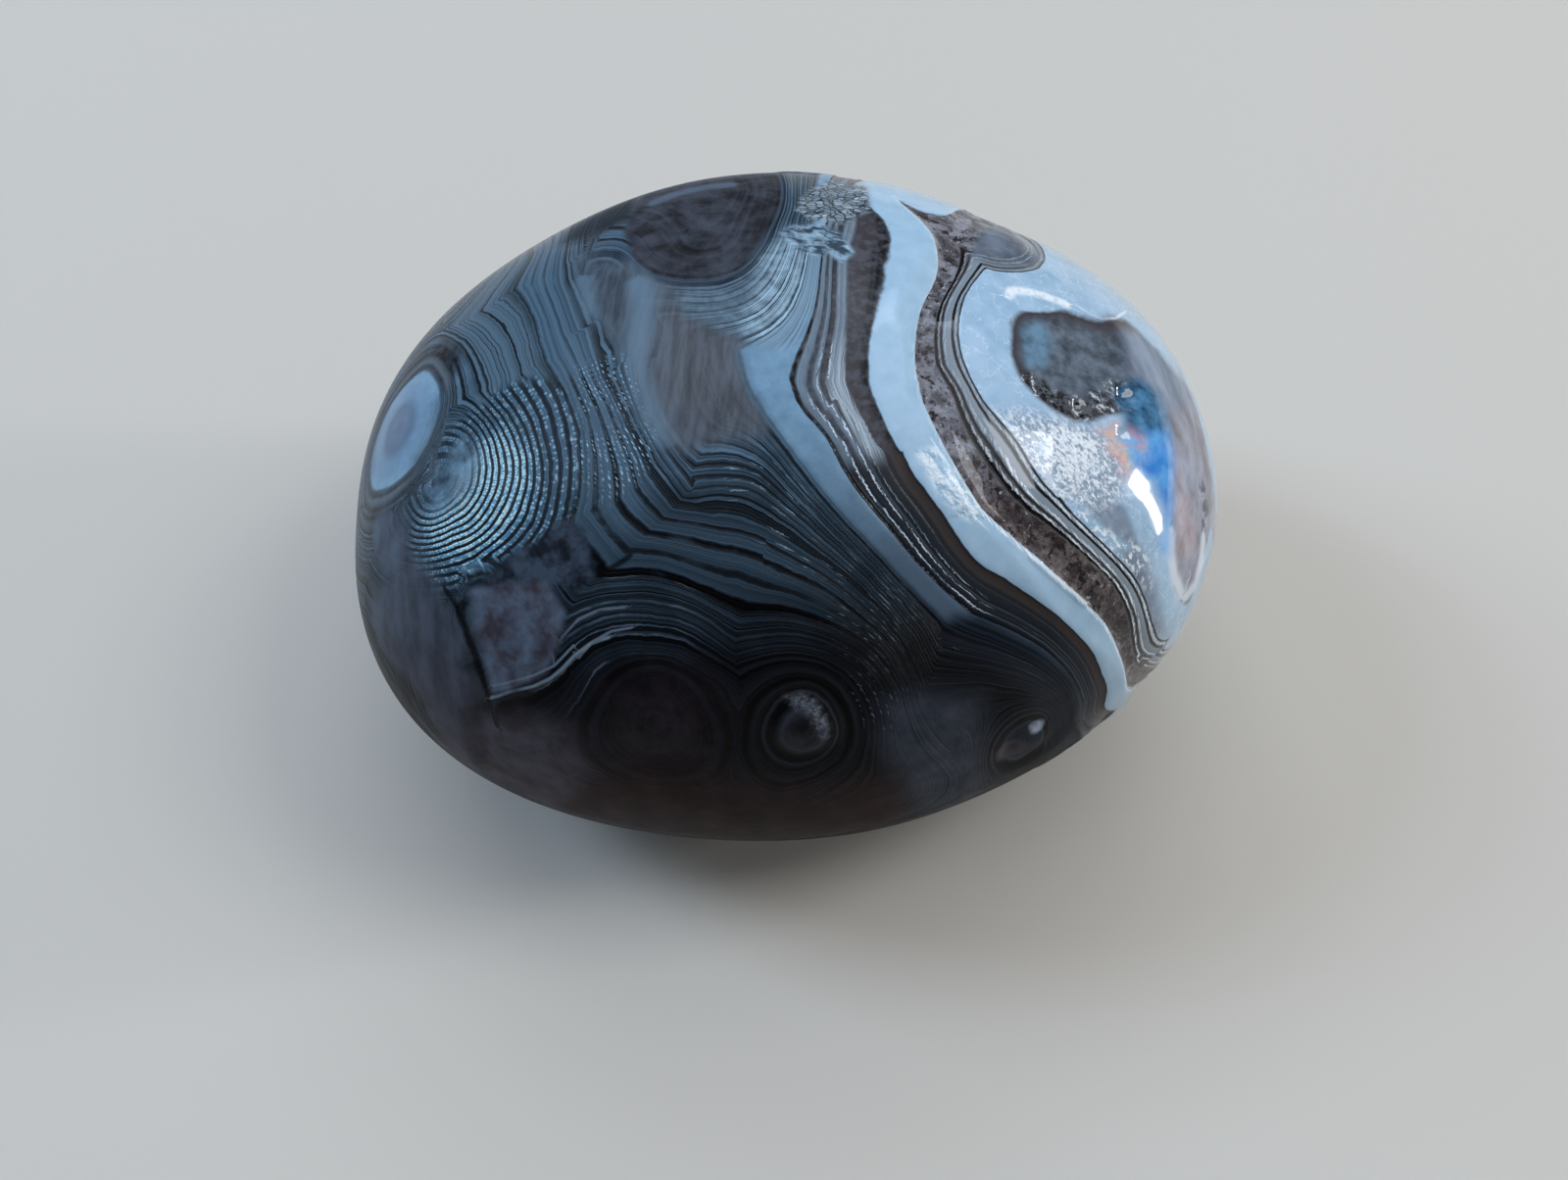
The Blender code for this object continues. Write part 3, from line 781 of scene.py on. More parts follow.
def dusk(points):
    """Painted shade, partly the stone's own darker colour: how far the colours fade to brown and black,
    towards the foot of the front.
    """
    forward = -points[:, 1] / HALF_WIDTH
    low = 1 - points[:, 2] / (2 * HALF_HEIGHT)
    return smooth_step((forward + low) / 2, 0.05, 0.70)


def stone(middle):
    sphere, faces = cube_sphere(CUBE_STEPS)
    toward = unit(CAMERA_PLACE - [0, 0, CENTRE_HEIGHT])
    outward = unit(sphere + CROWDING * toward)
    worn = worn_surface(outward)
    view = PhotoView()
    layer = layer_field(worn, view)
    points = worn + outward * (coarse_relief(worn) + fine_relief(worn, layer))[:, None]
    points[:, 2] = np.maximum(points[:, 2], 0)
    points -= middle
    mesh = bpy.data.meshes.new("banded_stone")
    mesh.from_pydata(points, [], faces)
    mesh.shade_smooth()
    values = surface_values(worn, layer, view)
    for name, numbers in values.items():
        attribute = mesh.attributes.new(name, "FLOAT", "POINT")
        attribute.data.foreach_set("value", numbers.astype(np.float32))
    piece = bpy.data.objects.new("banded_stone", mesh)
    bpy.context.scene.collection.objects.link(piece)
    return piece


def frame_middle():
    """Where the middle of the solid's box lies in the frame that the worn surface is shaped in."""
    sphere, _ = cube_sphere(MEASURING_STEPS)
    worn = worn_surface(sphere)
    points = worn + sphere * coarse_relief(worn)[:, None]
    low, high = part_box("pebble")
    placed = (np.array(low) + np.array(high)) / 2
    middle = (points.min(axis=0) + points.max(axis=0)) / 2 - placed
    return np.array([middle[0], middle[1], 0])


def colour(red, green, blue):
    """Linear colour from 0 to 255 display values."""
    shares = np.array([red, green, blue]) / 255
    linear = np.where(shares <= 0.04045, shares / 12.92, ((shares + 0.055) / 1.055) ** 2.4)
    return (*linear.tolist(), 1.0)


class Value:
    """A number, vector or colour of the node graph. Numbers can be added and multiplied."""

    def __init__(self, graph, socket):
        self.graph = graph
        self.socket = socket

    def __add__(self, other):
        return self.graph.math("ADD", self, other)

    def __sub__(self, other):
        return self.graph.math("SUBTRACT", self, other)

    def __rsub__(self, other):
        return self.graph.math("SUBTRACT", other, self)

    def __mul__(self, other):
        return self.graph.math("MULTIPLY", self, other)

    def __or__(self, other):
        return self.graph.math("MAXIMUM", self, other)

    __radd__ = __add__
    __rmul__ = __mul__

    def step(self, low, high, to_low=0.0, to_high=1.0):
        """Goes from to_low to to_high while the value goes from low to high, and stays there beyond."""
        return self.graph.node("ShaderNodeMapRange", {0: self, 1: low, 2: high, 3: to_low, 4: to_high})

    def smooth(self, low, high):
        inputs = {0: self, 1: low, 2: high}
        return self.graph.node("ShaderNodeMapRange", inputs, interpolation_type="SMOOTHSTEP")

    def between(self, rise, full, fading, end):
        return self.step(rise, full) * self.step(end, fading)

    def near(self, reach):
        """1 where the value is zero, fading to 0 at a distance."""
        return self.graph.math("ABSOLUTE", self).smooth(reach, 0.2 * reach)

    def around(self, level, reach):
        return (self - level).near(reach)


class Graph:
    """Short calls for the nodes of one material."""

    def __init__(self, name):
        self.material = bpy.data.materials.new(name)
        self.material.use_nodes = True
        self.tree = self.material.node_tree
        self.shader = self.tree.nodes["Principled BSDF"]

    def node(self, kind, inputs, output=0, **settings):
        node = self.tree.nodes.new(kind)
        for key, value in settings.items():
            setattr(node, key, value)
        for key, value in inputs.items():
            self.feed(node.inputs[key], value)
        return Value(self, node.outputs[output])

    def feed(self, socket, value):
        if isinstance(value, Value):
            self.tree.links.new(value.socket, socket)
        else:
            socket.default_value = value

    def math(self, operation, a, b=0.0):
        return self.node("ShaderNodeMath", {0: a, 1: b}, operation=operation)

    def mix(self, share, a, b):
        """Colour between two others, each a value or display red, green and blue."""
        a, b = (shade if isinstance(shade, Value) else colour(*shade) for shade in (a, b))
        return self.node("ShaderNodeMix", {0: share, 6: a, 7: b}, 2, data_type="RGBA")

    def ramp(self, value, stops, output="Color"):
        low, high = stops[0][0], stops[-1][0]
        node = self.tree.nodes.new("ShaderNodeValToRGB")
        self.feed(node.inputs["Fac"], value.step(low, high))
        elements = node.color_ramp.elements
        while len(elements) < len(stops):
            elements.new(0.5)
        for element, (level, shade) in zip(elements, stops):
            element.position = (level - low) / (high - low)
            element.color = shade
        return Value(self, node.outputs[output])

    def paint(self, share, shade):
        """Lays a shade over the colours so far."""
        self.base = self.mix(share, self.base, shade)

    def shades(self, value, *stops):
        """Colour from stops of a level and display red, green and blue."""
        return self.ramp(value, [(level, colour(*shade)) for level, *shade in stops])

    def heights(self, value, *stops):
        """Height from stops of a level and a height from -1 to 1."""
        stops = [(level, (0, 0, 0, 0.5 + height / 2)) for level, height in stops]
        return self.ramp(value, stops, "Alpha") * 2 - 1


class Masks:
    """Values of the surface by name. Each is read where it is first used, so that few are held at once."""

    def __init__(self, graph):
        self.graph = graph

    def __getattr__(self, name):
        value = self.graph.attribute(name)
        setattr(self, name, value)
        return value


class Agate(Graph):
    """The stone's material. All it shows is worked out from the layer, the place and the masks."""

    def __init__(self):
        super().__init__("agate_bands")
        at = self.node("ShaderNodeTexCoord", {}, "Object")
        self.place = self.stretched(1 / MM, 1 / MM, 1 / MM, at)
        self.masks = Masks(self)
        layer = self.attribute("layer") + (self.noise(0.55, 3.0) - 0.5) * 0.6
        layer = layer + (self.noise(2.6, 2.0) - 0.5) * 0.22
        self.layer = layer

        # Fine lines along the layers: an uneven set, a finer one, and an even one of a ridge a layer
        self.uneven = self.noise_along(layer, 1.25, 3.0, 0.75).step(0.36, 0.66)
        self.fine = self.noise_along(layer + 40.0, 3.1, 2.0, 0.6).step(0.34, 0.66)
        self.even = self.wave(layer).smooth(-0.6, 0.7)
        self.streaky = self.patches(0.5, 0.35, 0.65)
        self.jagged = self.noise(6.0, 2.0) - 0.5
        evenness = self.masks.fan | 0.15
        self.line = self.uneven + (self.even - self.uneven) * evenness + (self.fine - 0.5) * 0.4

    def attribute(self, name):
        return self.node("ShaderNodeAttribute", {}, "Fac", attribute_name=name)

    def marked(self, name, reach):
        """1 on the marks of a name, fading to 0 at a distance in mm."""
        return self.attribute(name).near(reach) * self.attribute(name + "_zone")

    def noise(self, scale, detail=2.0, roughness=0.5, vector=None):
        inputs = {"Vector": vector or self.place, "Scale": scale, "Detail": detail, "Roughness": roughness}
        return self.node("ShaderNodeTexNoise", inputs)

    def noise_along(self, value, scale, detail=2.0, roughness=0.5):
        """Noise that changes only with one value, for bands of uneven width."""
        inputs = {"W": value, "Scale": scale, "Detail": detail, "Roughness": roughness}
        return self.node("ShaderNodeTexNoise", inputs, noise_dimensions="1D")

    def patches(self, scale, low, high, detail=3.0, vector=None):
        """Soft patches from 0 to 1, their sizes about 1 mm over the scale."""
        return self.noise(scale, detail, 0.6, vector).step(low, high)

    def wave(self, value):
        return self.math("COSINE", value * (2 * np.pi))

    def stretched(self, x, y, z, vector=None):
        return self.node("ShaderNodeMapping", {"Vector": vector or self.place, "Scale": (x, y, z)})

    def turned(self, angle, along):
        """The place turned about Z by an angle in degrees, and then drawn out along its new X."""
        inputs = {"Vector": self.place, "Rotation": (0, 0, np.radians(angle)), "Scale": (1 / along, 1, 1)}
        return self.node("ShaderNodeMapping", inputs, vector_type="TEXTURE")

    def flecks(self, row, across, spacing):
        """A random number for each fleck of the rows that follow the lines, one row for each unit across."""
        line = self.math("FLOOR", across)
        fleck = self.math("FLOOR", getattr(self.masks, row) * (1 / spacing) + line * 0.37)
        return self.node("ShaderNodeTexWhiteNoise", {"W": fleck + line * 311.7}, noise_dimensions="1D")

    def pieces(self, row, length, share):
        """1 on pieces of uneven length along a row, which cover a share of it, and 0 between them."""
        place = getattr(self.masks, row) * (1 / length) + self.layer * 2.3
        return self.noise_along(place, 1.0, 3.0, 0.65).step(0.62 - 0.24 * share, 0.66 - 0.24 * share)

    def thin_lines(self, across, width=0.15):
        """Thin shaken lines, one a unit across."""
        shaken = across + self.jagged * 0.5
        return (shaken - self.math("ROUND", shaken)).near(width)


def ring_colours(g, m):
    """Dark rings around the eyes, the black crack lines, and the crowded lines up to the pale band."""
    layer = g.layer
    # shade: painted shade towards the foot of the front, with the south area darker too; it darkens the rings
    # and smooth bands
    shade = m.dusk.step(0, 0.8) | m.south * 0.6
    dark = g.mix(shade, (18, 26, 34), (5, 5, 7))
    light = g.mix(shade, (94, 124, 146), (26, 31, 40))
    g.base = g.mix(g.line.step(0.15, 0.9) * g.streaky.step(0, 1, 0.6, 1.0), dark, light)
    grey = g.mix(g.uneven.step(0.1, 0.5), (30, 38, 46), (86, 109, 125))
    g.paint(m.grey_rings, grey)

    # Smooth blue-grey bands between black lines, from layer 20 to 28
    smooth_band = g.mix(shade, (76, 101, 121), (11, 15, 20))
    smooth_band = g.mix(g.uneven * 0.5, smooth_band, light)
    g.paint(layer.between(20.2, 20.8, 26.8, 27.6) * (1 - m.fan) * 0.75, smooth_band)
    black = g.heights(
        layer, (19.3, 0), (19.7, 1), (20.4, 1), (20.7, 0), (21.65, 0), (21.85, 0.9), (22.2, 0.9), (22.4, 0),
        (23.55, 0), (23.8, 0.95), (24.25, 0.95), (24.5, 0), (25.65, 0), (25.85, 0.9), (26.15, 0.9),
        (26.35, 0), (27.55, 0), (27.8, 0.8), (28.15, 0.8), (28.45, 0))
    black = black * (1 - m.cloud * 0.9) * (1 - m.grey_rings * 0.5)
    g.paint(black * g.streaky.step(0, 0.4, 0.6, 1.0), (3, 3, 5))

    # The fan: even ridges, each with three fine rows of bright flecks painted as glints, brighter in a
    # painted highlight
    ridge = g.wave(layer).smooth(-0.75, 0.3) * (g.wave(layer * 3) * -1.0).step(-1, 0.2, 0.6, 1.0)
    shine = (g.flecks("around_fan", layer * 3, 0.10) + m.glow * 0.42).step(0.66, 1.05)
    calm_ridge = g.mix(m.glow, (72, 101, 122), (112, 174, 214))
    bright = g.mix(shine, calm_ridge, g.mix(m.glow, (156, 198, 220), (214, 252, 255)))
    gap = g.mix(m.glow, (24, 34, 43), (10, 17, 25))
    g.paint(m.fan * 0.95, g.mix(ridge, gap, bright))

    # Painted glints: bright flecks further out, and dashes along the front rings; thin light lines above the
    # faint eye, painted only on its upper left where the light falls
    dots = g.thin_lines(layer * 1.5, 0.22) * g.pieces("around_fan", 0.16, 0.45) * m.glints
    g.paint(dots * g.streaky.step(0.1, 0.6) * 0.9, (170, 210, 232))
    dots = g.thin_lines(layer * 0.9, 0.12) * g.pieces("around_dome", 0.5, 0.4) * m.dashes
    g.paint(dots * g.streaky.step(0.2, 0.6) * 0.75, (140, 160, 176))
    thin = g.line.step(0.78, 0.98) * m.upper_left * g.streaky.step(0.3, 0.7) * 0.7
    g.paint(thin, (116, 128, 144))


def inner_colours(g, m):
    """The pale band, the striped bands, the two white bands with the brown one, and the quartz core."""
    layer = g.layer
    mottle = g.patches(0.9, 0.3, 0.7)
    grain = g.patches(1.4, 0.32, 0.68, 4.0)
    speckle = g.noise(4.5, 4.0, 0.7)
    pale = g.mix(mottle, (102, 136, 162), (128, 164, 190))
    # Painted shade darkens the pale band towards the foot of the front
    pale = g.mix(m.dusk.step(0.0, 0.5, 0.0, 0.9), pale, (74, 88, 104))
    pale = g.mix(m.sheaf_light * 0.8, pale, g.mix(g.fine, (84, 104, 120), (140, 168, 188)))
    upper = g.shades(
        layer, (44, 14, 14, 15), (44.5, 16, 16, 18), (44.8, 122, 144, 161), (45.7, 114, 133, 149),
        (46.1, 56, 60, 67), (46.5, 64, 70, 80), (46.9, 124, 143, 159), (47.4, 110, 126, 140),
        (47.7, 52, 50, 53), (48.5, 64, 62, 64), (48.9, 122, 140, 156), (50.3, 126, 142, 156),
        (50.8, 70, 68, 71), (53.0, 66, 60, 60), (53.4, 26, 23, 22), (53.7, 30, 27, 26), (54, 60, 58, 60))
    upper = g.mix(g.fine * 0.45, upper, (58, 62, 70))
    upper = g.mix(g.patches(2.0, 0.45, 0.62, 4.0) * 0.4, upper, (104, 108, 118))
    broken = g.pieces("along_bands", 1.3, 0.75).step(0, 1, 0.25, 1.0)
    upper = g.mix(m.pale_stripe * layer.between(47.4, 48.2, 50.6, 51.2) * broken, upper,
                  g.mix(g.fine, (176, 190, 200), (140, 152, 162)))
    lower = g.shades(
        layer, (44, 16, 18, 22), (45.4, 24, 27, 32), (45.6, 76, 88, 100), (46.0, 32, 35, 40),
        (47.4, 38, 42, 48), (47.7, 86, 98, 108), (48.1, 30, 32, 37), (50.6, 42, 45, 50), (51.2, 40, 37, 37),
        (52.0, 66, 58, 54), (53.4, 62, 54, 51), (54, 28, 25, 25))
    lower = g.mix(g.uneven * 0.4, lower, (42, 49, 58))
    stripes = g.mix(m.upper_bands, lower, upper)
    # Painted glints: broken white chains along the striped bands
    glint_chains = g.thin_lines(layer * 0.65 + 0.3, 0.13) * g.pieces("along_bands", 0.7, 0.68)
    glint_chains = glint_chains * m.band_glints * layer.between(44.2, 44.6, 48.6, 49.2)
    stripes = g.mix(glint_chains * g.streaky.step(0.0, 0.5, 0.6, 1.0), stripes, (210, 222, 230))
    g.paint(layer.smooth(39.0, 40.8) * (1 - m.fade_out * 0.9), pale)
    g.paint(layer.smooth(43.9, 44.15), stripes)

    white = g.mix(mottle, (156, 188, 212), (172, 202, 223))
    # Painted shade greys the white band towards the foot of the front
    white = g.mix(m.dusk * 0.3, white, (116, 134, 150))
    # A painted highlight: bright white streaks on the outer white band
    white = g.mix(m.wet * g.patches(2.9, 0.49, 0.56, 4.0, g.turned(-52, 0.35)) * 0.95, white, (232, 242, 248))
    g.paint(layer.smooth(53.9, 54.2), white)
    brown = g.mix(g.patches(1.1, 0.4, 0.6), (80, 77, 82), (140, 142, 152))
    # Darker brown lower down, in the painted shade towards the foot of the front
    low_brown = g.mix(g.patches(1.3, 0.44, 0.62), (50, 35, 33), (115, 103, 99))
    brown = g.mix(m.dusk.step(0.16, 0.36) * 0.85, brown, low_brown)
    brown = g.mix(g.patches(2.3, 0.45, 0.39), brown, (48, 40, 39))
    brown = g.mix(speckle.step(0.40, 0.36), brown, (12, 11, 12))
    # White specks: painted glints
    brown = g.mix(speckle.step(0.62, 0.66) * 0.7, brown, (198, 200, 206))
    lines = g.shades(
        layer, (60, 84, 78, 76), (64.6, 92, 88, 86), (64.8, 16, 15, 16), (65.3, 14, 13, 14),
        (65.6, 104, 104, 108), (66.0, 60, 58, 60), (66.3, 18, 17, 18), (66.6, 122, 132, 142),
        (68.2, 136, 148, 158), (68.5, 20, 20, 22), (68.9, 24, 24, 27), (69.1, 126, 138, 148),
        (69.6, 114, 124, 134), (69.75, 22, 24, 27), (70, 28, 31, 36))
    brown = g.mix(layer.step(64.3, 64.7), brown, lines)
    brown = g.mix(m.lens, brown, g.mix(g.patches(0.7, 0.35, 0.65), (80, 89, 102), (116, 128, 144)))
    g.paint(layer.smooth(59.8, 60.1), brown)
    # Painted glints: broken white lines along the brown band's edge and the lines inside it
    shaken = layer + g.jagged * 0.8
    edge_glints = shaken.around(59.6, 0.5) | shaken.around(65.6, 0.3)
    edge_glints = edge_glints | shaken.around(66.9, 0.4) | shaken.around(69.3, 0.35)
    edge_glints = edge_glints * g.pieces("along_bands", 0.4, 0.65) * m.dusk.step(0.05, 0.3, 0.3, 1.0)
    g.paint(edge_glints, (226, 236, 244))

    inner_white = g.mix(mottle, (150, 182, 208), (172, 200, 223))
    veins = (g.noise(0.8, 3.0, 0.6) - 0.5).near(0.018)
    inner_white = g.mix(veins * 0.45, inner_white, (204, 226, 240))
    # A greyer lower part, and a painted dark reflection in the grey spot
    inner_white = g.mix(m.grey_low | m.grey_spot, inner_white, g.mix(grain, (112, 126, 142), (146, 162, 180)))
    # Painted glare: white flakes over the frosted patch, whitest in its core
    glare_flakes = (g.noise(5.4, 5.0, 0.72, g.turned(-50, 0.6)) + m.frost_core * 0.07).step(0.47, 0.59)
    glare = m.frost * g.patches(0.9, 0.30, 0.46).step(0, 1, 0.4, 1.0) | m.frost_core
    inner_white = g.mix(glare, inner_white, g.mix(glare_flakes, (140, 160, 181), (240, 246, 252)))
    # Painted glints: white streaks on the lower inner white band
    shards = m.shards * (g.noise(3.4, 4.0, 0.65, g.turned(-52, 0.4)) - 0.5).step(0.03, 0.08)
    inner_white = g.mix(shards, inner_white, (240, 246, 250))
    g.paint(layer.smooth(69.9, 70.15), inner_white)

    quartz = g.mix(grain, (62, 69, 77), (110, 121, 134))
    quartz = g.mix(m.blue_quartz * grain.step(0, 1, 0.4, 1), quartz, (110, 150, 178))
    quartz = g.mix(layer.step(77.2, 76.2), quartz, (66, 60, 62))
    strip = g.patches(0.8, 0.35, 0.65, vector=g.turned(-72, 0.3))
    quartz = g.mix(m.violet, quartz, g.mix(strip, (112, 106, 114), (156, 162, 180)))
    quartz = g.mix(m.violet_top, quartz, g.mix(strip, (92, 108, 128), (134, 152, 172)))
    quartz = g.mix(m.strip_pink * 0.7, quartz, g.mix(strip, (138, 112, 114), (184, 170, 176)))
    quartz = g.mix(m.strip_dark * g.patches(3.0, 0.42, 0.5), quartz, (36, 44, 66))
    holes = g.noise(2.7, 3.0, 0.65)
    quartz = g.mix(m.vugs * holes.step(0.52, 0.56), quartz, (10, 12, 14))
    quartz = g.mix(m.vugs * holes.step(0.42, 0.38), quartz, (204, 212, 218))
    g.paint(layer.smooth(75.8, 76.3), quartz)
    g.paint(m.dark_blue, g.mix(grain, (32, 62, 92), (84, 138, 176)))
    g.paint(g.marked("curl", 0.55) * 0.9, (212, 221, 231))
    # A painted highlight along the ridge at the top of the core
    g.paint(g.marked("ridge_highlight", 0.42) * g.patches(3.0, 0.36, 0.5).step(0, 1, 0.5, 1.0), (236, 244, 250))

    # A painted reflection in blue and pink below the hollow
    g.paint(m.fire_blue * g.patches(0.8, 0.3, 0.5).step(0, 1, 0.6, 0.95),
            g.mix(g.patches(0.7, 0.35, 0.65), (44, 128, 212), (104, 176, 236)))
    g.paint(m.fire_pink * g.patches(1.1, 0.40, 0.58) * 0.75,
            g.mix(g.patches(0.9, 0.4, 0.6), (228, 180, 150), (196, 138, 156)))


def region_colours(g, m):
    """What differs from place to place within the same layers."""
    layer = g.layer

    # The cloud: soft upright streaks in blue-grey, browner towards the middle
    streaks = g.noise_along(layer, 0.55, 3.0, 0.6).step(0.36, 0.64) * 0.3
    streaks = streaks + g.patches(0.5, 0.36, 0.64, vector=g.turned(78, 0.4)) * 0.3
    streaks = streaks + g.patches(2.6, 0.4, 0.6, 4.0, g.turned(78, 0.15)) * 0.4
    haze = g.mix(streaks, (56, 58, 62), (98, 104, 114))
    cloud = g.mix(m.brown_haze, g.mix(streaks, (52, 62, 72), (100, 114, 128)), haze)
    cloud = g.mix(g.marked("streaks", 1.0) * 0.6, cloud, (106, 132, 152))
    g.paint(layer.smooth(40.6, 38.8) * m.cloud, cloud)
    g.paint(m.fade_out * layer.step(46, 44) * 0.8, g.mix(g.line | g.fine * 0.6, (8, 10, 15), (38, 46, 58)))

    # The sheaf of light lines
    light = g.mix(m.sheaf_light, (104, 128, 146), (166, 198, 218))
    ridge = (g.line * 0.6 + g.fine * 0.55 + g.patches(1.8, 0.3, 0.7) * 0.4 - 0.3).step(0.1, 0.8)
    sheaf = g.mix(ridge, (52, 64, 75), light)
    g.paint(layer.between(27.4, 28.6, 39.6, 40.4) * m.sheaf, sheaf)

    # The dark upper eye and its smaller lobe
    swirls = g.patches(0.8, 0.38, 0.62, 4.0) * 0.6 + g.uneven * 0.3
    eye = g.mix(swirls, (24, 23, 26), (74, 79, 90))
    # A painted reflection: a light streak along the top rim
    eye = g.mix(g.marked("top_rim_reflection", 0.7) * 0.6, eye, (92, 112, 132))
    edge = g.mix(g.uneven.step(0.3, 0.8), (32, 42, 52), (72, 94, 114))
    g.paint(m.dark_eye, g.mix(layer.step(27.0, 28.4), eye, edge))
    g.paint(m.lobe * 0.85, (26, 36, 46))

    # Crackled patch and pale lumps at the top
    cells = {"Vector": g.stretched(0.55, 1.1, 1.0), "Scale": 4.2}
    joints = g.node("ShaderNodeTexVoronoi", cells, feature="DISTANCE_TO_EDGE").step(0.02, 0.12)
    cell_shade = g.node("ShaderNodeSeparateColor", {"Color": g.node("ShaderNodeTexVoronoi", cells, "Color")})
    flake = g.mix(cell_shade, (92, 106, 119), (172, 188, 199))
    g.paint(m.crackle, g.mix(joints, (30, 34, 40), flake))
    lumps = g.mix(g.patches(2.2, 0.42, 0.60, 4.0, g.turned(-20, 0.5)), (58, 74, 88), (156, 186, 206))
    g.paint(m.block, lumps)

    # The white eye at the left end
    disc = g.shades(
        layer, (0, 104, 112, 134), (1.6, 96, 110, 134), (2.2, 112, 130, 152), (3.4, 100, 122, 146),
        (4.6, 120, 152, 178), (7.6, 130, 166, 190), (8.0, 66, 80, 92), (8.6, 20, 23, 27),
        (9.2, 90, 103, 112), (9.9, 64, 72, 77), (10.3, 4, 4, 5), (11.9, 6, 6, 7), (12.3, 50, 52, 54),
        (12.8, 28, 29, 31), (13.2, 60, 66, 72), (14, 46, 54, 62))
    disc = g.mix(g.patches(2.2, 0.35, 0.65, 4.0) * 0.25, disc, (92, 114, 136))
    share = m.pale_eye * layer.smooth(14.2, 12.8)
    g.paint(share, disc)
    middle = g.mix(g.patches(0.9, 0.38, 0.66), (54, 70, 84), (104, 136, 157))
    g.paint(m.fan_middle * (1 - share) * 0.92, middle)
    g.paint(m.under_fan * 0.9, g.mix(g.patches(0.9, 0.4, 0.62), (26, 28, 35), (64, 76, 92)))

    # Smooth worn places and the patch below the ridges
    streaks = g.patches(1.1, 0.35, 0.65, vector=g.stretched(1.0, 0.35, 0.35))
    worn = g.mix(streaks, (60, 70, 83), (92, 107, 123))
    # Painted shade darkens the worn places towards the foot of the front
    worn = g.mix(m.dusk, worn, g.mix(streaks, (50, 48, 57), (72, 72, 84)))
    g.paint(m.smooth_left * 0.92, worn)
    patch = g.mix(g.patches(0.7, 0.36, 0.68), (65, 60, 69), (102, 119, 140))
    g.paint(m.patch * 0.88, patch)

    # The foot of the front is nearly black, as painted shade, and a little brown, as a painted reflection;
    # this hides most of the faint eye
    smudges = g.patches(0.7, 0.36, 0.66, 4.0)
    g.paint(m.calm * 0.5, g.mix(smudges, (25, 17, 20), (56, 47, 54)))
    g.paint(m.foot * layer.step(40, 38), g.mix(smudges, (28, 4, 2), (47, 23, 24)))
    low_left = g.mix(smudges, (58, 52, 61), (86, 83, 95))
    g.paint(m.low_left * 0.9, low_left)
    g.paint(m.low_right * layer.step(40, 38) * 0.85, g.mix(smudges, (50, 57, 69), (72, 76, 88)))

    # The button and the front dome, each in a dark moat
    button = g.shades(
        layer, (0, 34, 42, 50), (6, 32, 39, 46), (8, 56, 62, 72), (9, 20, 23, 28), (9.8, 2, 2, 3),
        (15.5, 2, 2, 3), (16.3, 52, 54, 60), (17.3, 44, 46, 52), (18, 6, 7, 9), (19.5, 12, 16, 22),
        (20.5, 42, 54, 66), (22, 20, 26, 34))
    button = g.mix(m.button_foot, button, g.mix(smudges, (52, 50, 56), (98, 88, 94)))
    button = g.mix(m.button_glint * g.patches(2.0, 0.35, 0.5).step(0, 1, 0.6, 1.0), button, (164, 174, 194))
    g.paint(m.button * layer.step(22, 20.5), button)
    dome = g.shades(
        layer, (0, 36, 35, 40), (3, 25, 23, 28), (6.4, 19, 18, 22), (7.2, 30, 32, 38), (7.7, 52, 56, 64),
        (8.1, 30, 33, 38), (8.5, 5, 5, 7), (9.2, 8, 8, 10), (9.6, 42, 46, 53), (9.9, 8, 8, 10),
        (10.7, 27, 29, 34), (11.1, 2, 2, 3), (12.0, 2, 2, 3), (12.4, 36, 39, 46), (13, 10, 11, 14),
        (14, 18, 20, 26))
    dome = g.mix(g.patches(1.4, 0.42, 0.64, 4.0) * layer.step(7.8, 7) * 0.4, dome, (66, 66, 76))
    # A painted highlight: pale smudges and glints on the upper right of the front dome
    lit = g.noise(4.0, 4.0, 0.7)
    light = m.dome_light * (lit.step(0.42, 0.66, 0.05, 0.4) | lit.step(0.62, 0.66, 0, 0.8))
    dome = g.mix(light, dome, (168, 178, 192))
    g.paint(m.front_dome * layer.step(14, 13.2), dome)

    g.paint(g.marked("gleams", 0.09) * g.streaky.step(0.0, 0.6, 0.3, 0.8), (112, 124, 140))
    g.paint(g.marked("cracks", 0.2) * 0.85, (8, 7, 9))
    # Thin white lines: painted glints on the white bands and the ridge by the core, and a pale line on the
    # front
    line_shade = g.mix(layer.step(40, 50), (118, 136, 148), (224, 236, 244))
    g.paint(g.marked("pale_and_glint_lines", 0.12) * g.streaky.step(0.0, 0.5, 0.3, 0.85), line_shade)


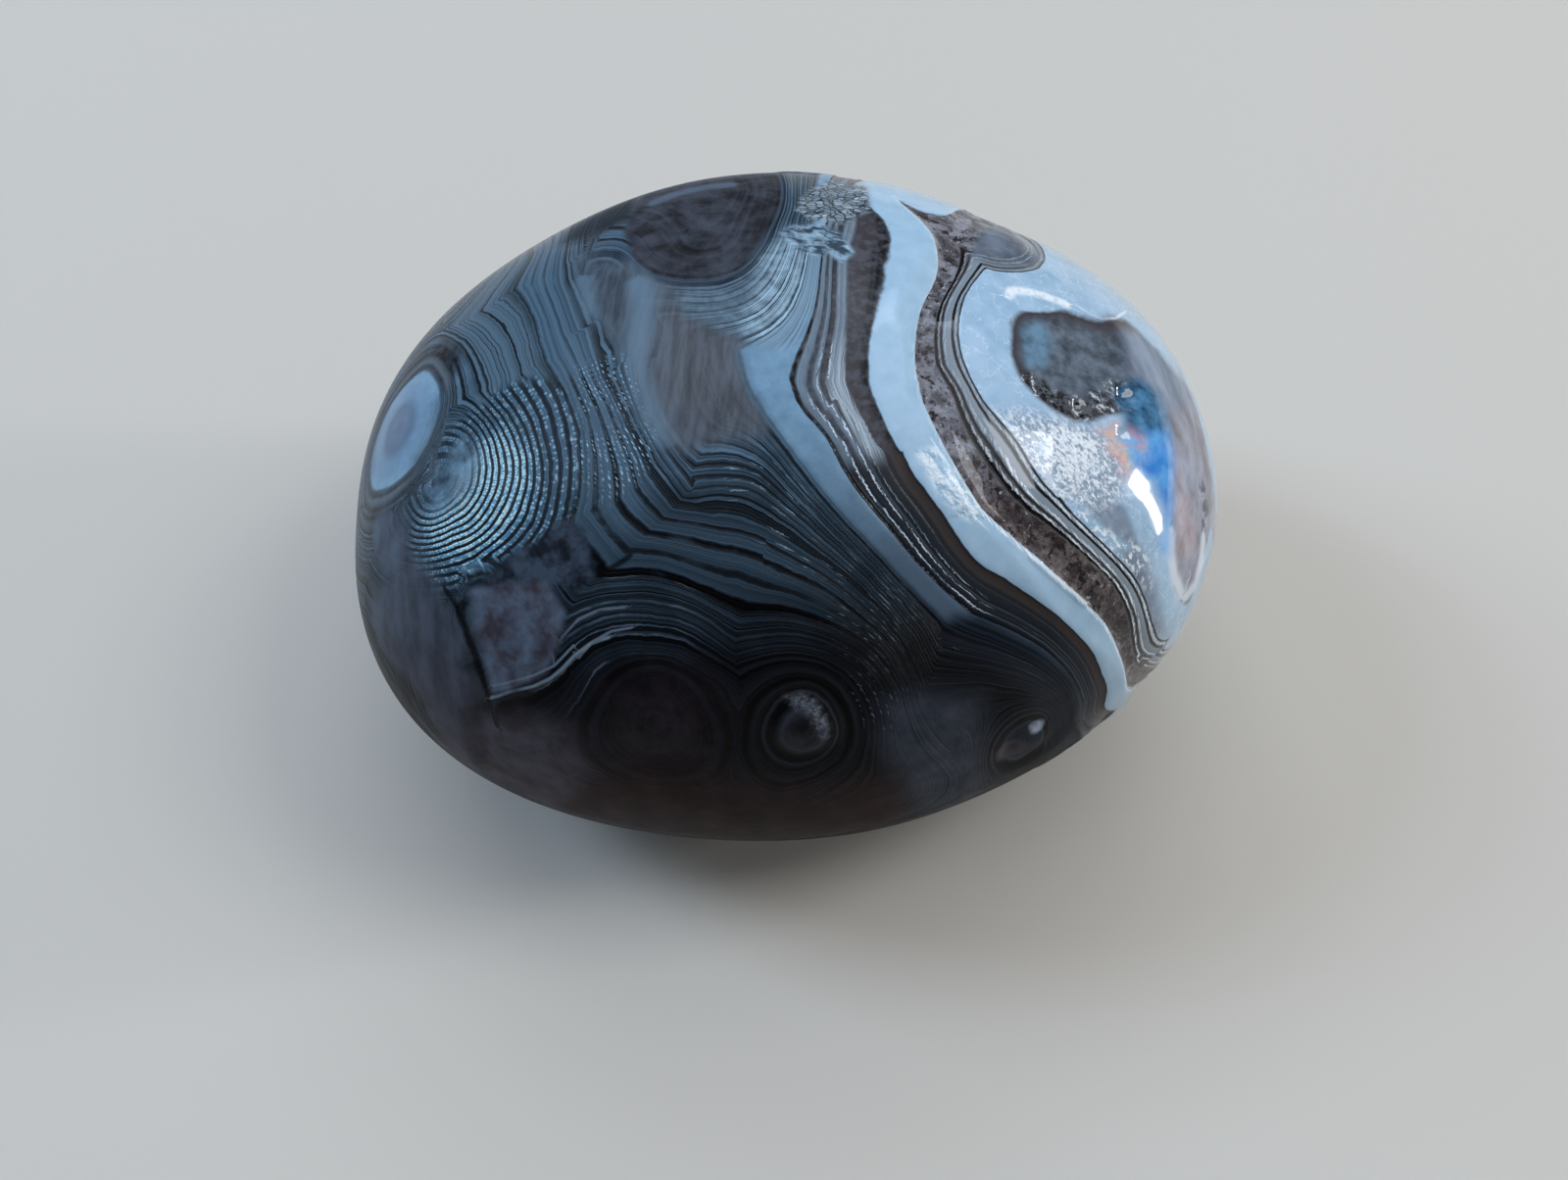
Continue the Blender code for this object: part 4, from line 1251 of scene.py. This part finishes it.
def band_heights(g, m):
    """Fine relief in mm: ridges on the dark bands, grooves between them, pits, frost and grain."""
    layer = g.layer
    open_places = 1 - m.smooth
    beads = g.flecks("around_fan", layer * 2, 0.2).step(0.3, 0.9)
    ridge = g.line * beads.step(0, 1, 0.6, 1.0) * layer.step(40, 39) * (m.high_ridges + 0.6)
    groove = g.heights(
        layer, (19.4, 0), (19.8, -1), (20.3, -1), (20.7, 0), (21.6, 0), (21.9, -0.7), (22.2, -0.6),
        (22.5, 0), (23.6, 0), (24, -0.8), (24.4, 0), (25.7, 0), (26.05, -0.6), (26.4, 0))
    stripes = g.heights(
        layer, (44, 0), (44.2, -0.8), (44.5, -0.6), (44.8, 0.3), (45.2, 0.3), (45.4, -0.4), (45.9, -0.4),
        (46.1, 0.3), (46.6, 0.3), (46.8, -0.9), (47.5, -0.6), (47.8, 0.4), (50.3, 0.4), (50.7, -0.3),
        (54, 0))
    brown = g.heights(
        layer, (60, 0), (64.6, 0), (65, -0.7), (65.5, 0.1), (66.2, -0.7), (66.7, 0.3), (68.2, 0.3),
        (68.6, -0.7), (69.2, 0.2), (69.8, -0.6), (70, 0))
    rough_zone = layer.between(60, 60.6, 64.2, 65.0)
    pits = (g.noise(3.0, 4.0, 0.7) - 0.5) * (rough_zone | m.vugs * 1.5)
    frost = (g.noise(3.2, 3.0, 0.6) - 0.5) * m.frosted_ground * layer.step(53, 54)
    crumbs = (g.noise(5.0, 3.0, 0.6) - 0.5) * layer.step(53.5, 54.5, 1.0, 0.3)
    crackle = (g.noise(2.6, 2.0) - 0.5) * m.crumbly_ground
    bands = ridge * open_places * 0.06 + groove * open_places * 0.05 + stripes * 0.035 + brown * 0.04
    rough = bands + pits * 0.16 + frost * 0.12 + crumbs * 0.012 + crackle * 0.15
    return rough + g.marked("pale_and_glint_lines", 0.35) * 0.04


def agate_material():
    g = Agate()
    m = g.masks
    ring_colours(g, m)
    inner_colours(g, m)
    region_colours(g, m)
    g.feed(g.shader.inputs["Base Color"], g.base)
    height = band_heights(g, m)
    bump = g.node("ShaderNodeBump", {"Strength": 1.0, "Distance": MM, "Height": height}, "Normal")
    g.feed(g.shader.inputs["Normal"], bump)

    # Glossy chalcedony, satin on the dark places and dull where the surface is eroded
    satin = m.satin * g.layer.step(41, 39)
    gloss = g.streaky * 0.08 + g.layer.step(69.8, 70.4, 0.14, 0.06) + satin * 0.3
    g.feed(g.shader.inputs["Roughness"], gloss + g.layer.between(60, 60.6, 64.2, 65.0) * 0.25)
    g.shader.inputs["IOR"].default_value = 1.5
    g.shader.inputs["Specular IOR Level"].default_value = 0.09
    g.shader.inputs["Coat Roughness"].default_value = 0.05
    wet = g.layer.step(53.9, 54.4, 0.0, 0.5) + g.layer.step(69.8, 70.4, 0.0, 0.3)
    g.feed(g.shader.inputs["Coat Weight"], wet)
    return g.material


def floor():
    mesh = bpy.data.meshes.new("floor")
    reach = 3.0
    mesh.from_pydata([(-reach, -reach, 0), (reach, -reach, 0), (reach, reach, 0), (-reach, reach, 0)], [],
                     [(0, 1, 2, 3)])
    piece = bpy.data.objects.new("floor", mesh)
    bpy.context.scene.collection.objects.link(piece)
    piece.location.z = -0.02 * MM
    g = Graph("pale_floor")
    g.shader.inputs["Base Color"].default_value = colour(208, 203, 194)
    g.shader.inputs["Roughness"].default_value = 0.65
    g.shader.inputs["Specular IOR Level"].default_value = 0.2
    mesh.materials.append(g.material)
    piece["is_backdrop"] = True


# Lights: azimuth, elevation, roll, distance, width and height in m, power in W, display colour
LIGHTS = {
    "overhead": (80, 70, 0, 1.00, 1.10, 1.10, 4.5, (245, 248, 255)),
    "high right window": (0, 52, 0, 0.50, 0.17, 0.19, 0.75, (250, 252, 255)),
    "low right window": (-3, 9, -25, 0.50, 0.030, 0.17, 0.55, (255, 255, 255)),
    "low right pane": (0.5, 15, -25, 0.50, 0.050, 0.060, 0.32, (255, 255, 255)),
    "left window": (156, 38, 0, 0.50, 0.13, 0.22, 1.2, (205, 228, 255)),
    "back sky": (92, 46, 0, 0.60, 0.50, 0.10, 0.5, (215, 234, 255)),
}


def lights():
    for name, (azimuth, elevation, roll, distance, width, height, power, shade) in LIGHTS.items():
        data = bpy.data.lights.new(name, "AREA")
        data.shape = "RECTANGLE"
        data.size = width
        data.size_y = height
        data.energy = power
        data.color = colour(*shade)[:3]
        lamp = bpy.data.objects.new(name, data)
        place = direction(azimuth, elevation) * distance + [0, 0, HALF_HEIGHT]
        ahead = -direction(azimuth, elevation)
        level = unit(np.cross(ahead, [0, 0, 1]))
        tilt = np.radians(roll)
        right = np.cos(tilt) * level + np.sin(tilt) * np.cross(level, ahead)
        lamp.matrix_world = placement(place, right, np.cross(right, ahead), -ahead)
        bpy.context.scene.collection.objects.link(lamp)
    world = bpy.data.worlds.new("soft room")
    world.use_nodes = True
    background = world.node_tree.nodes["Background"]
    background.inputs["Color"].default_value = colour(205, 214, 225)
    background.inputs["Strength"].default_value = 0.10
    bpy.context.scene.world = world


def placement(place, x_axis, y_axis, z_axis):
    """A matrix from a place and three axes."""
    columns = np.stack([x_axis, y_axis, z_axis, place], axis=1)
    return Matrix([*columns.tolist(), [0, 0, 0, 1]])


def camera(middle):
    data = bpy.data.cameras.new("camera")
    data.sensor_width = SENSOR_WIDTH
    data.lens = FOCAL_PIXELS / FRAME_WIDTH * SENSOR_WIDTH
    data.clip_start = 1 * MM
    item = bpy.data.objects.new("camera", data)
    right, down, ahead = camera_axes()
    item.matrix_world = placement(CAMERA_PLACE - middle, right, -down, -ahead)
    bpy.context.scene.collection.objects.link(item)
    bpy.context.scene.camera = item


middle = frame_middle()
piece = stone(middle)
piece.data.materials.append(agate_material())
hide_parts("pebble")
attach(piece, "root")
floor()
lights()
camera(middle)
bpy.context.scene.view_settings.view_transform = "Standard"

boxes = {"cad": cad_bounds, "visual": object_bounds()}
{name: [list(corner) for corner in box] for name, box in boxes.items()}
